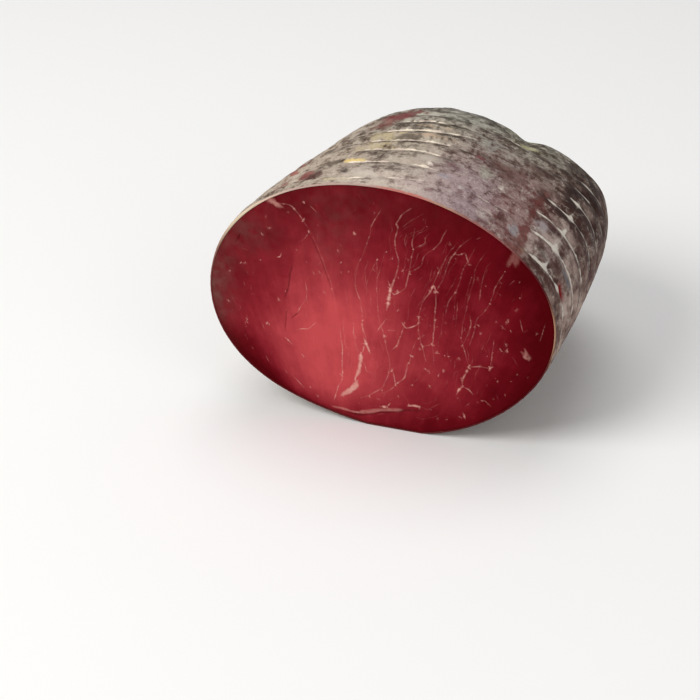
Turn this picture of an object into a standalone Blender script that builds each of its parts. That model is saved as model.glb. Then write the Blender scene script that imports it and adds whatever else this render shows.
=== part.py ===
"""A cut half of a bresaola: cured beef packed in a skin and pressed by a net.

The body lies on its belly. The cut is a flat oval face that looks along -Y, and the muscle runs back
from it along +Y to a blunt, gathered end. Rings of the net, which is gone, stay printed round the skin.
The origin is on the ground, in the middle of the box round the body.
"""

import bmesh
import bpy
import numpy as np

# The flat cut face: an oval that is a little lopsided, with small shares for each departure from an ellipse.
CUT_HALF_WIDTH = 0.0745
CUT_HALF_HEIGHT = 0.0571
CUT_LEAN = 0.012
CUT_SQUARENESS = 0.0095
CUT_KNOBS = 0.005
CUT_TRIANGLE = 0.004

# The body behind the cut: a superellipse seen from the side, whose middle line drifts and then droops.
BODY_LENGTH = 0.1345
END_POWER_ALONG = 3.9
END_POWER_ACROSS = 3.8
NARROWING = -0.097
HEIGHTENING = 0.12
DRIFT, DRIFT_BEND = 0.133, -0.68
RISE, RISE_BEND = 0.088, -1.42
BELLY_FLAT = 0.0005

# Swellings and dents: share of the radius, angle round the body and its spread in degrees, distance
# behind the cut and its spread in metres. Angles run from +X, up over the top.
SWELLINGS = (
    ("shoulder dent", -0.036, 111, 16, 0.056, 0.040),
    ("back valley", -0.060, 61, 20, 0.106, 0.031),
    ("flank ridge", 0.130, 17, 14, 0.106, 0.050),
    ("back lobe", 0.020, 32, 20, 0.106, 0.024),
    ("left dent", -0.047, 146, 16, 0.064, 0.024),
)
SWELLING_START = 0.02

# The net's rings: a shallow groove at every turn, with the skin gently full between them.
FIRST_RING = 0.0094
RING_PITCH = 0.0116
GROOVE_DEPTH, GROOVE_HALF_WIDTH = 0.0006, 0.0019
BAND_FULLNESS = 0.0003

# The gathered end: two sets of pleats that fall in and out of step, round a dimple where it was tied.
WIDE_PLEATS, WIDE_PLEAT_HEIGHT = 9, 0.0006
FINE_PLEATS, FINE_PLEAT_HEIGHT = 14, 0.0005
FINE_PLEAT_TURN = 1.0
TIE_DIMPLE_DEPTH = 0.0030
TIE_DIMPLE_SPREAD = 0.16

# How finely the skin is faceted.
COLUMNS = 70
ROWS_PER_RING = 4
PROFILE_STEPS = 2000
POLE_GAP = 0.0012


def clear_scene():
    for item in list(bpy.data.objects):
        bpy.data.objects.remove(item, do_unlink=True)


def cut_radius(angle):
    """Distance from the middle of the cut to its rim."""
    half_sizes = CUT_HALF_WIDTH * CUT_HALF_HEIGHT
    ellipse = half_sizes / np.hypot(CUT_HALF_HEIGHT * np.cos(angle), CUT_HALF_WIDTH * np.sin(angle))
    lopsided = -CUT_LEAN * np.sin(2 * angle) + CUT_SQUARENESS * np.sin(4 * angle)
    lopsided += CUT_KNOBS * np.cos(5 * angle) - CUT_TRIANGLE * np.cos(3 * angle)
    return ellipse * (1 + lopsided)


def end_share(share_along):
    """How wide the body still is, from 1 at the cut to 0 at the end of its length."""
    return np.maximum(1 - share_along**END_POWER_ALONG, 0) ** (1 / END_POWER_ACROSS)


def swelling_share(angle, behind):
    """Share added to the radius by the swellings and dents, fading in just behind the cut."""
    share = np.zeros_like(angle)
    for _, height, middle, spread, distance, reach in SWELLINGS:
        turn = (angle - np.radians(middle) + np.pi) % (2 * np.pi) - np.pi
        around = np.exp(-0.5 * (turn / np.radians(spread)) ** 2)
        share += height * around * np.exp(-0.5 * ((behind - distance) / reach) ** 2)
    return share * min(1, behind / SWELLING_START)


def ring_relief(skin_distance):
    """Height of the skin over its mean: down in the groove of each net ring, full between two rings."""
    phase = (skin_distance - FIRST_RING) / RING_PITCH
    from_ring = abs(phase - round(phase)) * RING_PITCH
    groove = GROOVE_DEPTH * np.exp(-((from_ring / GROOVE_HALF_WIDTH) ** 2))
    fullness = BAND_FULLNESS * np.sin(np.pi * from_ring / RING_PITCH)
    return (fullness - groove) * min(1, skin_distance / FIRST_RING)


def stations():
    """Distances along the body of the rows of points, evenly spaced over the skin from the cut to the end."""
    quarter = np.linspace(0, np.pi / 2, PROFILE_STEPS)
    along = BODY_LENGTH * np.sin(quarter) ** (2 / END_POWER_ALONG)
    mean_radius = (CUT_HALF_WIDTH + CUT_HALF_HEIGHT) / 2
    outward = mean_radius * end_share(along / BODY_LENGTH)
    steps = np.hypot(np.diff(along), np.diff(outward))
    skin_distance = np.concatenate([[0], np.cumsum(steps)])
    spacing = RING_PITCH / ROWS_PER_RING
    first = FIRST_RING % spacing
    rows = np.concatenate([[0], np.arange(first, skin_distance[-1] - POLE_GAP, spacing)])
    return list(zip(rows, np.interp(rows, skin_distance, along)))


def gathers(angle, end):
    """Height of the pleats on the end, strongest halfway in, less the dimple at their middle."""
    pleats = WIDE_PLEAT_HEIGHT * np.cos(WIDE_PLEATS * angle)
    pleats += FINE_PLEAT_HEIGHT * np.cos(FINE_PLEATS * angle + FINE_PLEAT_TURN)
    dimple = TIE_DIMPLE_DEPTH * np.exp(-((end / TIE_DIMPLE_SPREAD) ** 2))
    return pleats * np.sin(np.pi * end) ** 2 - dimple


def skin_row(angle, skin_distance, behind):
    """One closed row of skin points, at a distance behind the cut."""
    share = behind / BODY_LENGTH
    end = end_share(share)
    radius = cut_radius(angle) * end * (1 + swelling_share(angle, behind)) + ring_relief(skin_distance)
    x = DRIFT * behind + DRIFT_BEND * behind**2 + (1 + NARROWING * share) * radius * np.cos(angle)
    z = RISE * behind + RISE_BEND * behind**2 + (1 + HEIGHTENING * share) * radius * np.sin(angle)
    y = behind + gathers(angle, end) * share**4
    ground = BELLY_FLAT - CUT_HALF_HEIGHT
    return np.column_stack([x, y, np.maximum(z, ground) - ground])


def cured_meat():
    """Deep red cured beef, satin where the knife went through."""
    material = bpy.data.materials.new("cured_meat")
    material.use_nodes = True
    shader = material.node_tree.nodes["Principled BSDF"]
    shader.inputs["Base Color"].default_value = (0.30, 0.022, 0.026, 1)
    shader.inputs["Roughness"].default_value = 0.42
    shader.inputs["Metallic"].default_value = 0.0
    return material


def mouldy_skin():
    """Dried skin under grey-white mould, dull all over."""
    material = bpy.data.materials.new("mouldy_skin")
    material.use_nodes = True
    shader = material.node_tree.nodes["Principled BSDF"]
    shader.inputs["Base Color"].default_value = (0.30, 0.26, 0.22, 1)
    shader.inputs["Roughness"].default_value = 0.85
    shader.inputs["Metallic"].default_value = 0.0
    return material


def body_mesh():
    """The closed body: a flat cut face, rows of skin, and a fan that closes the end."""
    angle = np.linspace(0, 2 * np.pi, COLUMNS, endpoint=False)
    rows = [skin_row(angle, distance, behind) for distance, behind in stations()]
    shape = bmesh.new()
    loops = [[shape.verts.new(point) for point in row] for row in rows]
    end_point = shape.verts.new(rows[-1].mean(axis=0))
    cut_face = shape.faces.new(loops[0])
    for near, far in zip(loops, loops[1:]):
        for here in range(COLUMNS):
            there = (here + 1) % COLUMNS
            shape.faces.new((near[here], near[there], far[there], far[here]))
    for here in range(COLUMNS):
        shape.faces.new((loops[-1][here], loops[-1][(here + 1) % COLUMNS], end_point))
    for face in shape.faces:
        face.smooth = face is not cut_face
        face.material_index = int(face is not cut_face)
    bmesh.ops.recalc_face_normals(shape, faces=shape.faces)
    centre_on_box(shape)
    mesh = bpy.data.meshes.new("bresaola")
    shape.to_mesh(mesh)
    shape.free()
    return mesh


def centre_on_box(shape):
    """Moves the shape along the ground until the box round it has its middle over the origin."""
    corners = np.array([vertex.co for vertex in shape.verts])
    middle = (corners.min(axis=0) + corners.max(axis=0)) / 2
    bmesh.ops.translate(shape, verts=shape.verts, vec=(-middle[0], -middle[1], 0))


def build_bresaola():
    mesh = body_mesh()
    mesh.materials.append(cured_meat())
    mesh.materials.append(mouldy_skin())
    body = bpy.data.objects.new("bresaola", mesh)
    bpy.context.scene.collection.objects.link(body)
    return body


clear_scene()
build_bresaola()
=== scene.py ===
"""The cut half of a bresaola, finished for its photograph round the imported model.

The file goes through the camera, the floor with its lights, the cured meat, and the skin it cured in.
Lengths are metres, unless a name says that they are millimetres.
"""

import bpy
import numpy as np
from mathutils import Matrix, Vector, geometry, kdtree, noise


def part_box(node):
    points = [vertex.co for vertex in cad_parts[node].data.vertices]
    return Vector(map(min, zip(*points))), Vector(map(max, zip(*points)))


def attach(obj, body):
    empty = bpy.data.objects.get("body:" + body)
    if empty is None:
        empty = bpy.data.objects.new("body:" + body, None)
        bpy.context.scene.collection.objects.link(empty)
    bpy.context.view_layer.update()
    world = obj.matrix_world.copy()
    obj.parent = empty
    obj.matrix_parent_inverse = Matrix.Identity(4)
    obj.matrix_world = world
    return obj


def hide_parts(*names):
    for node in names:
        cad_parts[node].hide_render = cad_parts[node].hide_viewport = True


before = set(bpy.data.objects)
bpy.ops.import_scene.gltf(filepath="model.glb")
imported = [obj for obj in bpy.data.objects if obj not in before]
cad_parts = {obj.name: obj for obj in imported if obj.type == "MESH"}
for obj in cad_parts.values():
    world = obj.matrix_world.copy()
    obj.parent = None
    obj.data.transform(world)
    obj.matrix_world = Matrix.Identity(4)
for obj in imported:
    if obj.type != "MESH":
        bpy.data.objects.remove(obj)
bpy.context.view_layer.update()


# THE CAMERA
# It stands to the right of the cut and looks down on it through a short telephoto lens, which keeps
# the oval of the cut nearly as wide as it is. The picture is square.
CAMERA_PLACE = Vector((0.1738, -0.6480, 0.4100))
CAMERA_BACK = Vector((0.2635, -0.8109, 0.5225))
PICTURE_SIDE_PX = 700
FOCAL_LENGTH_PX = 1700
SENSOR_SIDE_MM = 36
NEAREST_SEEN = 0.01


def turned_along(direction):
    """The turn of a camera or a light that looks this way."""
    return direction.to_track_quat("-Z", "Y").to_euler()


lens = bpy.data.cameras.new("camera")
lens.sensor_width = SENSOR_SIDE_MM
lens.lens = SENSOR_SIDE_MM * FOCAL_LENGTH_PX / PICTURE_SIDE_PX
lens.clip_start = NEAREST_SEEN
camera = bpy.data.objects.new("camera", lens)
camera.location = CAMERA_PLACE
camera.rotation_euler = turned_along(-CAMERA_BACK)
bpy.context.scene.collection.objects.link(camera)
bpy.context.scene.camera = camera
bpy.context.scene.view_settings.view_transform = "Standard"


# THE FLOOR AND THE LIGHTS
# A wide white table top under a big soft light from the upper left. A weaker one from the right, one
# overhead and the pale room itself fill the shadows.
FLOOR_SIDE = 14.0
FLOOR_COLOUR = (0.90, 0.90, 0.90, 1)
FLOOR_ROUGHNESS, FLOOR_GLOSS = 0.8, 0.1
ROOM_COLOUR = (1.0, 0.99, 0.98, 1)
ROOM_STRENGTH = 0.36
AIM = Vector((0, 0, 0.055))
LIGHTS = (
    ("key light", (-0.95, -1.05, 1.30), 1.1, 22.0, (1.0, 0.985, 0.96)),
    ("fill light", (1.2, -0.9, 0.9), 1.2, 3.0, (0.96, 0.98, 1.0)),
    ("top light", (-0.2, 0.4, 1.7), 1.2, 9.0, (1.0, 1.0, 1.0)),
)


def new_material(name):
    """A material, its tree of nodes, and the shader in it."""
    material = bpy.data.materials.new(name)
    material.use_nodes = True
    return material, material.node_tree, material.node_tree.nodes["Principled BSDF"]


bpy.ops.object.select_all(action="DESELECT")
bpy.ops.mesh.primitive_plane_add(size=FLOOR_SIDE)
floor = bpy.context.object
floor.name = "floor"
table_top, _, table_shader = new_material("white table top")
table_shader.inputs["Base Color"].default_value = FLOOR_COLOUR
table_shader.inputs["Roughness"].default_value = FLOOR_ROUGHNESS
table_shader.inputs["Specular IOR Level"].default_value = FLOOR_GLOSS
floor.data.materials.append(table_top)

for name, place, side, watts, colour in LIGHTS:
    lamp = bpy.data.lights.new(name, "AREA")
    lamp.shape = "DISK"
    lamp.size = side
    lamp.energy = watts
    lamp.color = colour
    light = bpy.data.objects.new(name, lamp)
    light.location = place
    light.rotation_euler = turned_along(AIM - light.location)
    bpy.context.scene.collection.objects.link(light)

room = bpy.data.worlds.new("pale room")
room.use_nodes = True
backdrop = room.node_tree.nodes["Background"]
backdrop.inputs["Color"].default_value = ROOM_COLOUR
backdrop.inputs["Strength"].default_value = ROOM_STRENGTH
bpy.context.scene.world = room


# THE CURED MEAT
# One muscle of beef, salted and dried until it is firm, then cut straight across. The cut is satin and
# crimson, paler in its heart, where a painted sheen of the soft light adds to its own tone. The threads of
# fat between its fibres are drawn one by one, and the mesh is laid out along them in code, because no
# primitive has points there.

# The body follows the imported model: a lopsided oval that narrows to a blunt end.
CUT_HALF_WIDTH = 0.0745
CUT_HALF_HEIGHT = 0.0571
CUT_LEAN = 0.012
CUT_SQUARENESS = 0.0095
CUT_KNOBS = 0.005
CUT_TRIANGLE = 0.004
BODY_LENGTH = 0.1345
END_POWER_ALONG = 3.9
END_POWER_ACROSS = 3.8
NARROWING = -0.097
HEIGHTENING = 0.12
DRIFT, DRIFT_BEND = 0.133, -0.68
RISE, RISE_BEND = 0.088, -1.42
BELLY_FLAT = 0.0005
PROFILE_STEPS = 20000
TRIAL_STEPS = 181

# Swellings and dents: share of the radius, angle round the body and its spread in degrees, distance
# behind the cut and its spread. Angles run from +X, up over the top.
SWELLINGS = (
    ("shoulder dent", -0.036, 111, 16, 0.056, 0.040),
    ("back valley", -0.060, 61, 20, 0.106, 0.031),
    ("flank ridge", 0.130, 17, 14, 0.106, 0.050),
    ("back lobe", 0.020, 32, 20, 0.106, 0.024),
    ("left dent", -0.047, 146, 16, 0.064, 0.024),
)
SWELLING_START = 0.02


def cut_radius(angle):
    """Distance from the middle of the cut to its rim."""
    half_sizes = CUT_HALF_WIDTH * CUT_HALF_HEIGHT
    ellipse = half_sizes / np.hypot(CUT_HALF_HEIGHT * np.cos(angle), CUT_HALF_WIDTH * np.sin(angle))
    lopsided = -CUT_LEAN * np.sin(2 * angle) + CUT_SQUARENESS * np.sin(4 * angle)
    lopsided += CUT_KNOBS * np.cos(5 * angle) - CUT_TRIANGLE * np.cos(3 * angle)
    return ellipse * (1 + lopsided)


quarter = np.linspace(0, np.pi / 2, PROFILE_STEPS)
profile_along = BODY_LENGTH * np.sin(quarter) ** (2 / END_POWER_ALONG)
profile_end = np.maximum(1 - (profile_along / BODY_LENGTH) ** END_POWER_ALONG, 0) ** (1 / END_POWER_ACROSS)
profile_out = (CUT_HALF_WIDTH + CUT_HALF_HEIGHT) / 2 * profile_end
profile_skin = np.concatenate([[0], np.cumsum(np.hypot(np.diff(profile_along), np.diff(profile_out)))])
WHOLE_SKIN = profile_skin[-1]


def hill(offset, spread):
    """A smooth hill, 1 at its middle."""
    return np.exp(-0.5 * (offset / spread) ** 2)


def ridge(offset, half_width):
    """A narrower hill, 1 at its middle and nearly gone at twice its half width."""
    return np.exp(-((offset / half_width) ** 2))


def turn_from(angle, degrees):
    """The turn from a place given in degrees, the short way round."""
    return (angle - np.radians(degrees) + np.pi) % (2 * np.pi) - np.pi


def hill_round(angle, degrees, spread):
    """A hill at a place round the body, given in degrees with its spread."""
    return hill(turn_from(angle, degrees), np.radians(spread))


def body_place(angle, skin_distance, inset=0.0):
    """Points of the smooth body before it is put in its place, inset under its surface."""
    behind = np.interp(skin_distance, profile_skin, profile_along)
    end = np.interp(skin_distance, profile_skin, profile_end)
    share = behind / BODY_LENGTH
    swelling = np.zeros_like(angle)
    for _, height, middle, spread, distance, reach in SWELLINGS:
        swelling += height * hill_round(angle, middle, spread) * hill(behind - distance, reach)
    swelling *= np.minimum(1, behind / SWELLING_START)
    radius = np.maximum(cut_radius(angle) * end * (1 + swelling) - inset, 0)
    x = DRIFT * behind + DRIFT_BEND * behind**2 + (1 + NARROWING * share) * radius * np.cos(angle)
    z = RISE * behind + RISE_BEND * behind**2 + (1 + HEIGHTENING * share) * radius * np.sin(angle)
    y = np.minimum(behind, BODY_LENGTH - inset)
    ground = BELLY_FLAT - CUT_HALF_HEIGHT
    return np.column_stack([x, y, np.maximum(z - ground, inset)])


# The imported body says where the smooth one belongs: its box gives the cut's plane and the middle.
cad_low, cad_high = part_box("bresaola")
around, along = np.meshgrid(np.linspace(0, 2 * np.pi, TRIAL_STEPS), np.linspace(0, WHOLE_SKIN, TRIAL_STEPS))
trial = body_place(around.ravel(), along.ravel())
shift_x = (cad_low.x + cad_high.x) / 2 - (trial[:, 0].min() + trial[:, 0].max()) / 2
body_shift = np.array([shift_x, cad_low.y, 0])
middle_height = CUT_HALF_HEIGHT - BELLY_FLAT

SEED_STEP = 17.3


def wave(points, size, seed):
    """Smooth noise from about -1 to 1 at each point, with lumps of this size."""
    return np.array([noise.noise(Vector(point)) for point in points / size + seed * SEED_STEP])


def rough(points, size, seed, octaves=4):
    """Noise with finer and finer lumps in it, from about -1 to 1."""
    scaled = points / size + seed * SEED_STEP
    return np.array([noise.fractal(Vector(point), 1.0, 2.0, octaves) for point in scaled])


def smooth_step(value, low, high):
    """0 up to the low value, 1 from the high one on, smooth between."""
    share = np.clip((value - low) / (high - low), 0, 1)
    return share * share * (3 - 2 * share)


# The threads of fat, drawn on the cut as a cook sees it: how wide in millimetres, how fat it is from 0 to
# 1, and points in millimetres, to the right of the cut's middle and above the table.
VEINS = (
    ("crown", 0.47, 0.24, ((13.5, 106.5), (10, 103.5), (7.5, 99), (8, 97), (7, 92), (7, 87.5), (8.5, 82),
        (7.5, 75), (5, 68.5))),
    ("crown knot", 0.95, 0.8, ((7.2, 74.5), (6.2, 71), (5.5, 68.5), (5, 66), (4.5, 63), (3.8, 58.0))),
    ("crown knot's side", 0.8, 0.7, ((4.6, 71.5), (5.5, 68.8), (5.2, 65.5))),
    ("crown loop", 0.21, 0.08, ((18, 104.5), (15.5, 102.5), (12.5, 100), (9.5, 97))),
    ("second", 0.34, 0.26, ((15, 97.5), (14, 90.5), (14.5, 88), (14, 84.5), (12.5, 75), (11.5, 70),
        (8, 66.5))),
    ("second's left root", 0.26, 0.16, ((21, 96.5), (19.5, 94), (19, 91.5), (14.5, 88.5))),
    ("second's right root", 0.34, 0.16, ((28, 99), (24.5, 91.5), (19.5, 86.5), (18, 81.5), (16.5, 80),
        (13.5, 77.5))),
    ("left long", 0.26, 0.18, ((1, 104), (-3, 96), (-3.5, 92.5), (-7, 81.5), (-9, 76), (-9.5, 71),
        (-9.5, 66), (-7.5, 60), (-6.5, 51.5))),
    ("left long's foot", 0.51, 0.32, ((-6.5, 51.5), (-6.5, 48), (-5, 42.5), (-3.5, 37))),
    ("left fork", 0.21, 0.1, ((-0.5, 83.5), (-1, 80.5), (-4.5, 71), (-5, 66.5))),
    ("left twin", 0.26, 0.16, ((-0.5, 81), (-0.5, 74), (-0.5, 67), (0.5, 53), (1.5, 50.5), (3, 45.5))),
    ("twin's fork", 0.4, 0.74, ((3.5, 54), (1.5, 50.5), (0, 47.5))),
    ("great curve", 0.42, 0.28, ((3, 45.5), (4, 40), (5, 36), (5.5, 32), (5, 27.5), (2.5, 20.5), (-1, 17),
        (-3.5, 15), (-7, 13))),
    ("thick root", 1.7, 0.8, ((-7.3, 35.6), (-7.3, 33), (-7.5, 30.5), (-7.9, 27.4), (-8.7, 24.5),
        (-9.7, 22.6))),
    ("root's neck", 1.0, 0.74, ((-9.3, 24.2), (-9.6, 22), (-9.4, 19.5))),
    ("thick foot", 2.7, 0.7, ((-9.0, 21.2), (-9.9, 18.4), (-11.9, 15.9), (-14.2, 13.9), (-15.8, 12.4))),
    ("foot's toe", 0.9, 0.8, ((-13.6, 14.2), (-15.2, 12.9), (-15.4, 12.2))),
    ("left long's toe", 0.8, 0.66, ((-6.0, 43.5), (-4.8, 40), (-3.3, 36.4))),
    ("root's left fork", 0.3, 0.22, ((-10.5, 50.5), (-10.5, 44.5), (-10, 41.5), (-9.2, 37), (-7.4, 34.2))),
    ("root's right fork", 0.34, 0.4, ((-5.6, 40.5), (-6.1, 37.4), (-7.2, 34.2))),
    ("root's hair", 0.2, 0.42, ((-7, 31.5), (-5.5, 30), (-4.5, 27), (-2.5, 26.5))),
    ("outer left", 0.34, 0.28, ((-16.5, 46), (-16, 41), (-15.5, 37), (-15.5, 28), (-15.5, 21),
        (-17.5, 16.5), (-19, 10.5), (-19.5, 9))),
    ("middle", 0.34, 0.26, ((11.5, 53.5), (10.5, 48.5), (9.5, 45.5), (8.5, 42), (6, 39))),
    ("middle bridge", 0.4, 0.64, ((17.5, 57), (17.5, 54.5), (15.5, 52.5), (12.5, 51), (11, 52.5))),
    ("middle dash", 0.35, 0.74, ((4.5, 48.5), (5.5, 49), (7.5, 49))),
    ("centre right", 0.34, 0.24, ((28.5, 87.5), (26.5, 82.5), (24.5, 77.5), (22, 70), (19.5, 66),
        (18, 60.5), (17.5, 54.5), (18, 48), (20, 41), (21, 36.5))),
    ("ladder", 0.3, 0.38, ((19.5, 43.5), (23.5, 45.5), (24, 49), (24.5, 57))),
    ("ladder's foot", 0.21, 0.14, ((23.5, 45.5), (24, 42), (24.5, 36))),
    ("hook", 0.47, 0.4, ((14.5, 38), (14, 35), (13, 33.5), (13, 31.5), (12, 27), (9.5, 24), (8, 22.5))),
    ("hook's foot", 0.3, 0.24, ((8, 22.5), (7, 21), (4.5, 18.5), (1.5, 16.5))),
    ("hook's thorn", 0.4, 0.42, ((8, 23), (7.5, 26.5), (6.5, 29.5))),
    ("hook's hair", 0.17, 0.14, ((14.5, 38), (15, 40.5), (16.5, 45.5), (17.5, 47))),
    ("great right", 0.38, 0.16, ((38, 97), (34.5, 93.5), (31.5, 89), (29.5, 85), (27.5, 77.5),
        (24.5, 70.5))),
    ("great right's foot", 0.34, 0.18, ((24.5, 70.5), (24.5, 62), (24, 56.5), (24, 52.5), (23.5, 45.5))),
    ("great right's spur", 0.7, 1.0, ((24.5, 70.5), (23.5, 73), (22, 70))),
    ("right bridge", 0.38, 0.26, ((31.5, 89), (33.5, 89), (36, 90), (37, 87.5), (38, 85))),
    ("right second", 0.3, 0.12, ((40, 93), (37, 86), (35, 81.5), (34.5, 77.5), (32.5, 71.5), (30, 67),
        (28.5, 59.5))),
    ("right second's twin", 0.21, 0.08, ((32.5, 71.5), (32.5, 68), (32.5, 63.5), (32, 58.5))),
    ("right third", 0.3, 0.1, ((44.5, 92), (40.5, 84.5), (40, 78.5), (38, 69), (37, 61.5), (36, 57),
        (36, 51))),
    ("right fourth", 0.26, 0.12, ((46.5, 87.5), (45, 85.5), (43.5, 78.5), (43, 74.5), (42.5, 69))),
    ("right fifth", 0.26, 0.14, ((52.5, 84.5), (49, 77), (48, 73), (47, 69), (44.5, 64), (42, 60.5),
        (41, 54.5), (39.5, 48))),
    ("star's stem", 0.26, 0.2, ((39, 61.5), (39.5, 57.5), (37.5, 50), (36.5, 47.5), (37.5, 44.5),
        (39.5, 37.5))),
    ("star's left stem", 0.21, 0.1, ((33.5, 54), (35.5, 50.5), (36.5, 47.5))),
    ("star", 0.65, 0.5, ((39.4, 37.4), (38.4, 34), (37, 30.4), (37.1, 27.1))),
    ("star's left arm", 0.65, 0.54, ((37.2, 27.3), (36, 26.2), (34.8, 23.4))),
    ("star's right arm", 0.5, 0.4, ((37.2, 27.3), (39.6, 26.5), (41.6, 24.4))),
    ("star's bridge", 0.4, 0.34, ((39.4, 37.4), (44, 38.4), (48.5, 38.6))),
    ("star's right stem", 0.26, 0.22, ((48.5, 38.6), (49, 45), (49.4, 52))),
    ("low pip", 0.6, 0.5, ((37.8, 14.2), (38.8, 11.2))),
    ("low seam's left", 1.0, 0.36, ((-20, 6), (-16, 5.8), (-11.5, 5.2), (-6.5, 5.2))),
    ("low seam", 2.0, 0.34, ((-8.5, 5.0), (-3, 6.8), (1.5, 8.3), (6, 9.4), (11.5, 10.5))),
    ("low seam's crumb", 0.8, 0.54, ((1, 10), (3.5, 10.5), (5.5, 10))),
    ("low seam's thorn", 0.3, 0.44, ((6, 13), (4.5, 10.5))),
    ("low dash", 1.1, 1.0, ((14, 13), (16.5, 13.5), (19, 13.5))),
    ("low seam's right", 0.26, 0.24, ((19, 13.5), (22.5, 13), (24, 14), (28, 17))),
    ("low dash's branch", 0.21, 0.14, ((14, 13.5), (13.5, 15.5), (12, 18))),
    ("upper seam", 0.26, 0.08, ((-32, 94), (-30.5, 91.5), (-27, 85), (-24, 77.5), (-22.5, 73), (-20, 65),
        (-18, 53))),
    ("upper seam's root", 0.42, 0.28, ((-45.5, 100.5), (-42, 100), (-37, 99.5), (-32, 94))),
    ("upper spur", 0.34, 0.14, ((-30, 89), (-31, 86.5), (-34, 83.5))),
    ("upper bit", 0.4, 0.76, ((-28.5, 100.5), (-26.5, 98.5))),
    ("left hook", 0.45, 1.0, ((-42, 77), (-42.5, 75.5), (-43.5, 75))),
    ("left curl", 0.26, 0.22, ((-31.5, 65), (-31, 61.5), (-31.5, 57.5), (-35.5, 50))),
    ("left wing", 0.35, 0.58, ((-27, 47), (-30.5, 43), (-33, 42.5), (-35.5, 41.5))),
    ("left pip", 0.45, 1.0, ((-41, 36.5), (-38.5, 34.5), (-38, 34))),
    ("left spark", 0.5, 0.52, ((-44, 55.5), (-43, 54.5))),
    ("far left", 0.3, 0.42, ((-58.5, 44.5), (-58, 43), (-59, 41), (-59, 39.5))),
    ("far left's hair", 0.2, 0.24, ((-64.5, 52), (-63, 49))),
    ("low left", 0.3, 0.42, ((-38, 18), (-33.5, 13.5))),
    ("right bit", 0.26, 0.32, ((60, 63), (60.5, 61), (61, 58.5))),
    ("right hair", 0.26, 0.18, ((70, 63.5), (69, 59), (68.5, 55.5))),
    ("low right bit", 0.3, 0.38, ((46.5, 22.5), (49.5, 20))),
    ("valley's fat", 2.4, 0.17, ((56.8, 95.6), (55.9, 92.5), (54.7, 90), (53.4, 87))),
    ("valley's second fat", 2.6, 0.17, ((58.6, 94.2), (57.2, 91.6), (56.6, 89.6), (56.5, 87.4))),
    ("left notch", 2.6, 0.44, ((-48.5, 101.6), (-46, 100.8), (-43.4, 99.4), (-41, 98.6))),
    ("right patch", 2.8, 0.22, ((61.2, 48.8), (62.8, 47.5), (64.9, 46.2))),
    ("right patch's top", 1.7, 0.36, ((62.4, 50.4), (63, 48.4), (62.6, 46.6), (64.4, 45.4))),
    ("right patch's tail", 0.5, 0.22, ((57.6, 45.4), (58.6, 43.8), (59.4, 42.4))),
    ("second's hand", 0.5, 0.5, ((8.5, 67.5), (6.8, 66.2), (5.2, 68))),
)

# Specks of fat: to the right, up, and how wide, in millimetres.
SPECKS = (
    (-51.3, 72.4, 0.7), (-58, 70.3, 0.6), (-59.9, 70, 0.6), (-58.5, 43.1, 0.9), (-58.2, 41.2, 0.8),
    (-49, 42.8, 1.1), (-48.1, 42, 0.8), (-43.8, 55, 1.0), (-40.5, 59.4, 0.6), (-33, 28.9, 1.1),
    (-30.1, 13.8, 0.8), (-26.9, 10.3, 0.9), (-25.4, 71.1, 0.7), (-28, 70.2, 0.7), (-15.8, 77.4, 0.6),
    (-17.5, 82.7, 0.6), (-31.5, 101.8, 0.8), (-46.9, 88, 0.6), (-50.5, 85.1, 0.6), (-65, 65.3, 0.6),
    (-31, 74.8, 0.5), (-12.8, 73.2, 0.6), (-66.5, 50.5, 0.6), (21, 33, 1.0), (22.5, 31.5, 0.7),
    (15.5, 24, 0.9), (23, 24.5, 0.7), (26, 41.5, 0.8), (29, 41, 0.6), (28.5, 33, 0.8), (26.5, 30.5, 0.6),
    (9.5, 17, 0.6), (43.5, 54, 1.2), (43, 57.5, 0.6), (50, 61, 0.7), (54, 61.5, 1.0), (55, 62, 0.7),
    (52.5, 48, 0.8), (54.5, 51, 0.7), (55, 48.5, 0.6), (47, 44, 0.8), (49, 44, 0.6), (30.5, 41, 0.6),
    (35, 41, 0.9), (45, 76.5, 0.6), (58.5, 80.5, 0.6), (59, 73.5, 0.6), (39, 79.5, 0.5), (41.5, 79.5, 0.5),
    (-10.5, 92, 0.8), (6, 82.5, 0.8), (3.5, 85.5, 0.5), (10.5, 78, 0.7), (12.5, 83, 0.6), (-16, 72.5, 0.5),
    (38.5, 13.5, 0.7), (19.5, 48.5, 0.5), (52.5, 84.5, 0.7), (47, 69, 0.6), (-33.5, 29.5, 0.6),
    (-20, 64, 0.7), (37, 12, 0.7), (31, 9.5, 0.6), (45, 11, 0.7), (37, 30.3, 2.0), (37.2, 27.4, 1.1),
    (44, 38.5, 1.0), (48.4, 38.7, 1.0), (46, 22, 1.3), (64.5, 46.2, 1.0), (-15.6, 29.8, 1.2),
    (-15.8, 22.5, 1.2), (-3.2, 14.2, 1.2), (2.4, 18.8, 0.9), (8.6, 59, 0.8), (24.5, 57, 0.9),
    (17.4, 54.5, 1.1), (19.5, 43.5, 0.9), (58, 68, 0.6), (56, 58, 0.5), (60, 38, 0.6), (52, 33, 0.6),
)

# Cracks where the muscle opened as it dried: how wide, how deep from 0 to 1, and points.
CRACKS = (
    ("long crack", 0.75, 0.58, ((-37, 73), (-38, 69.5), (-39, 62), (-40.5, 57))),
    ("crack's tail", 0.6, 0.45, ((-40, 51), (-40.5, 45), (-41, 40))),
    ("short crack", 0.7, 0.7, ((-35, 50), (-37.5, 47))),
    ("far crack", 0.8, 0.9, ((-60, 83), (-61, 80.5), (-61.5, 79.5))),
    ("under the upper seam", 0.5, 0.4, ((-31, 90.5), (-27.5, 84), (-24.5, 76.5), (-22.5, 71),
        (-20.5, 64.5))),
    ("under the low seam", 1.2, 0.5, ((-19, 4.5), (-11, 4), (-6, 4.3), (1.5, 7), (8, 8.7), (13, 10.5),
        (20, 11.5))),
)

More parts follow.
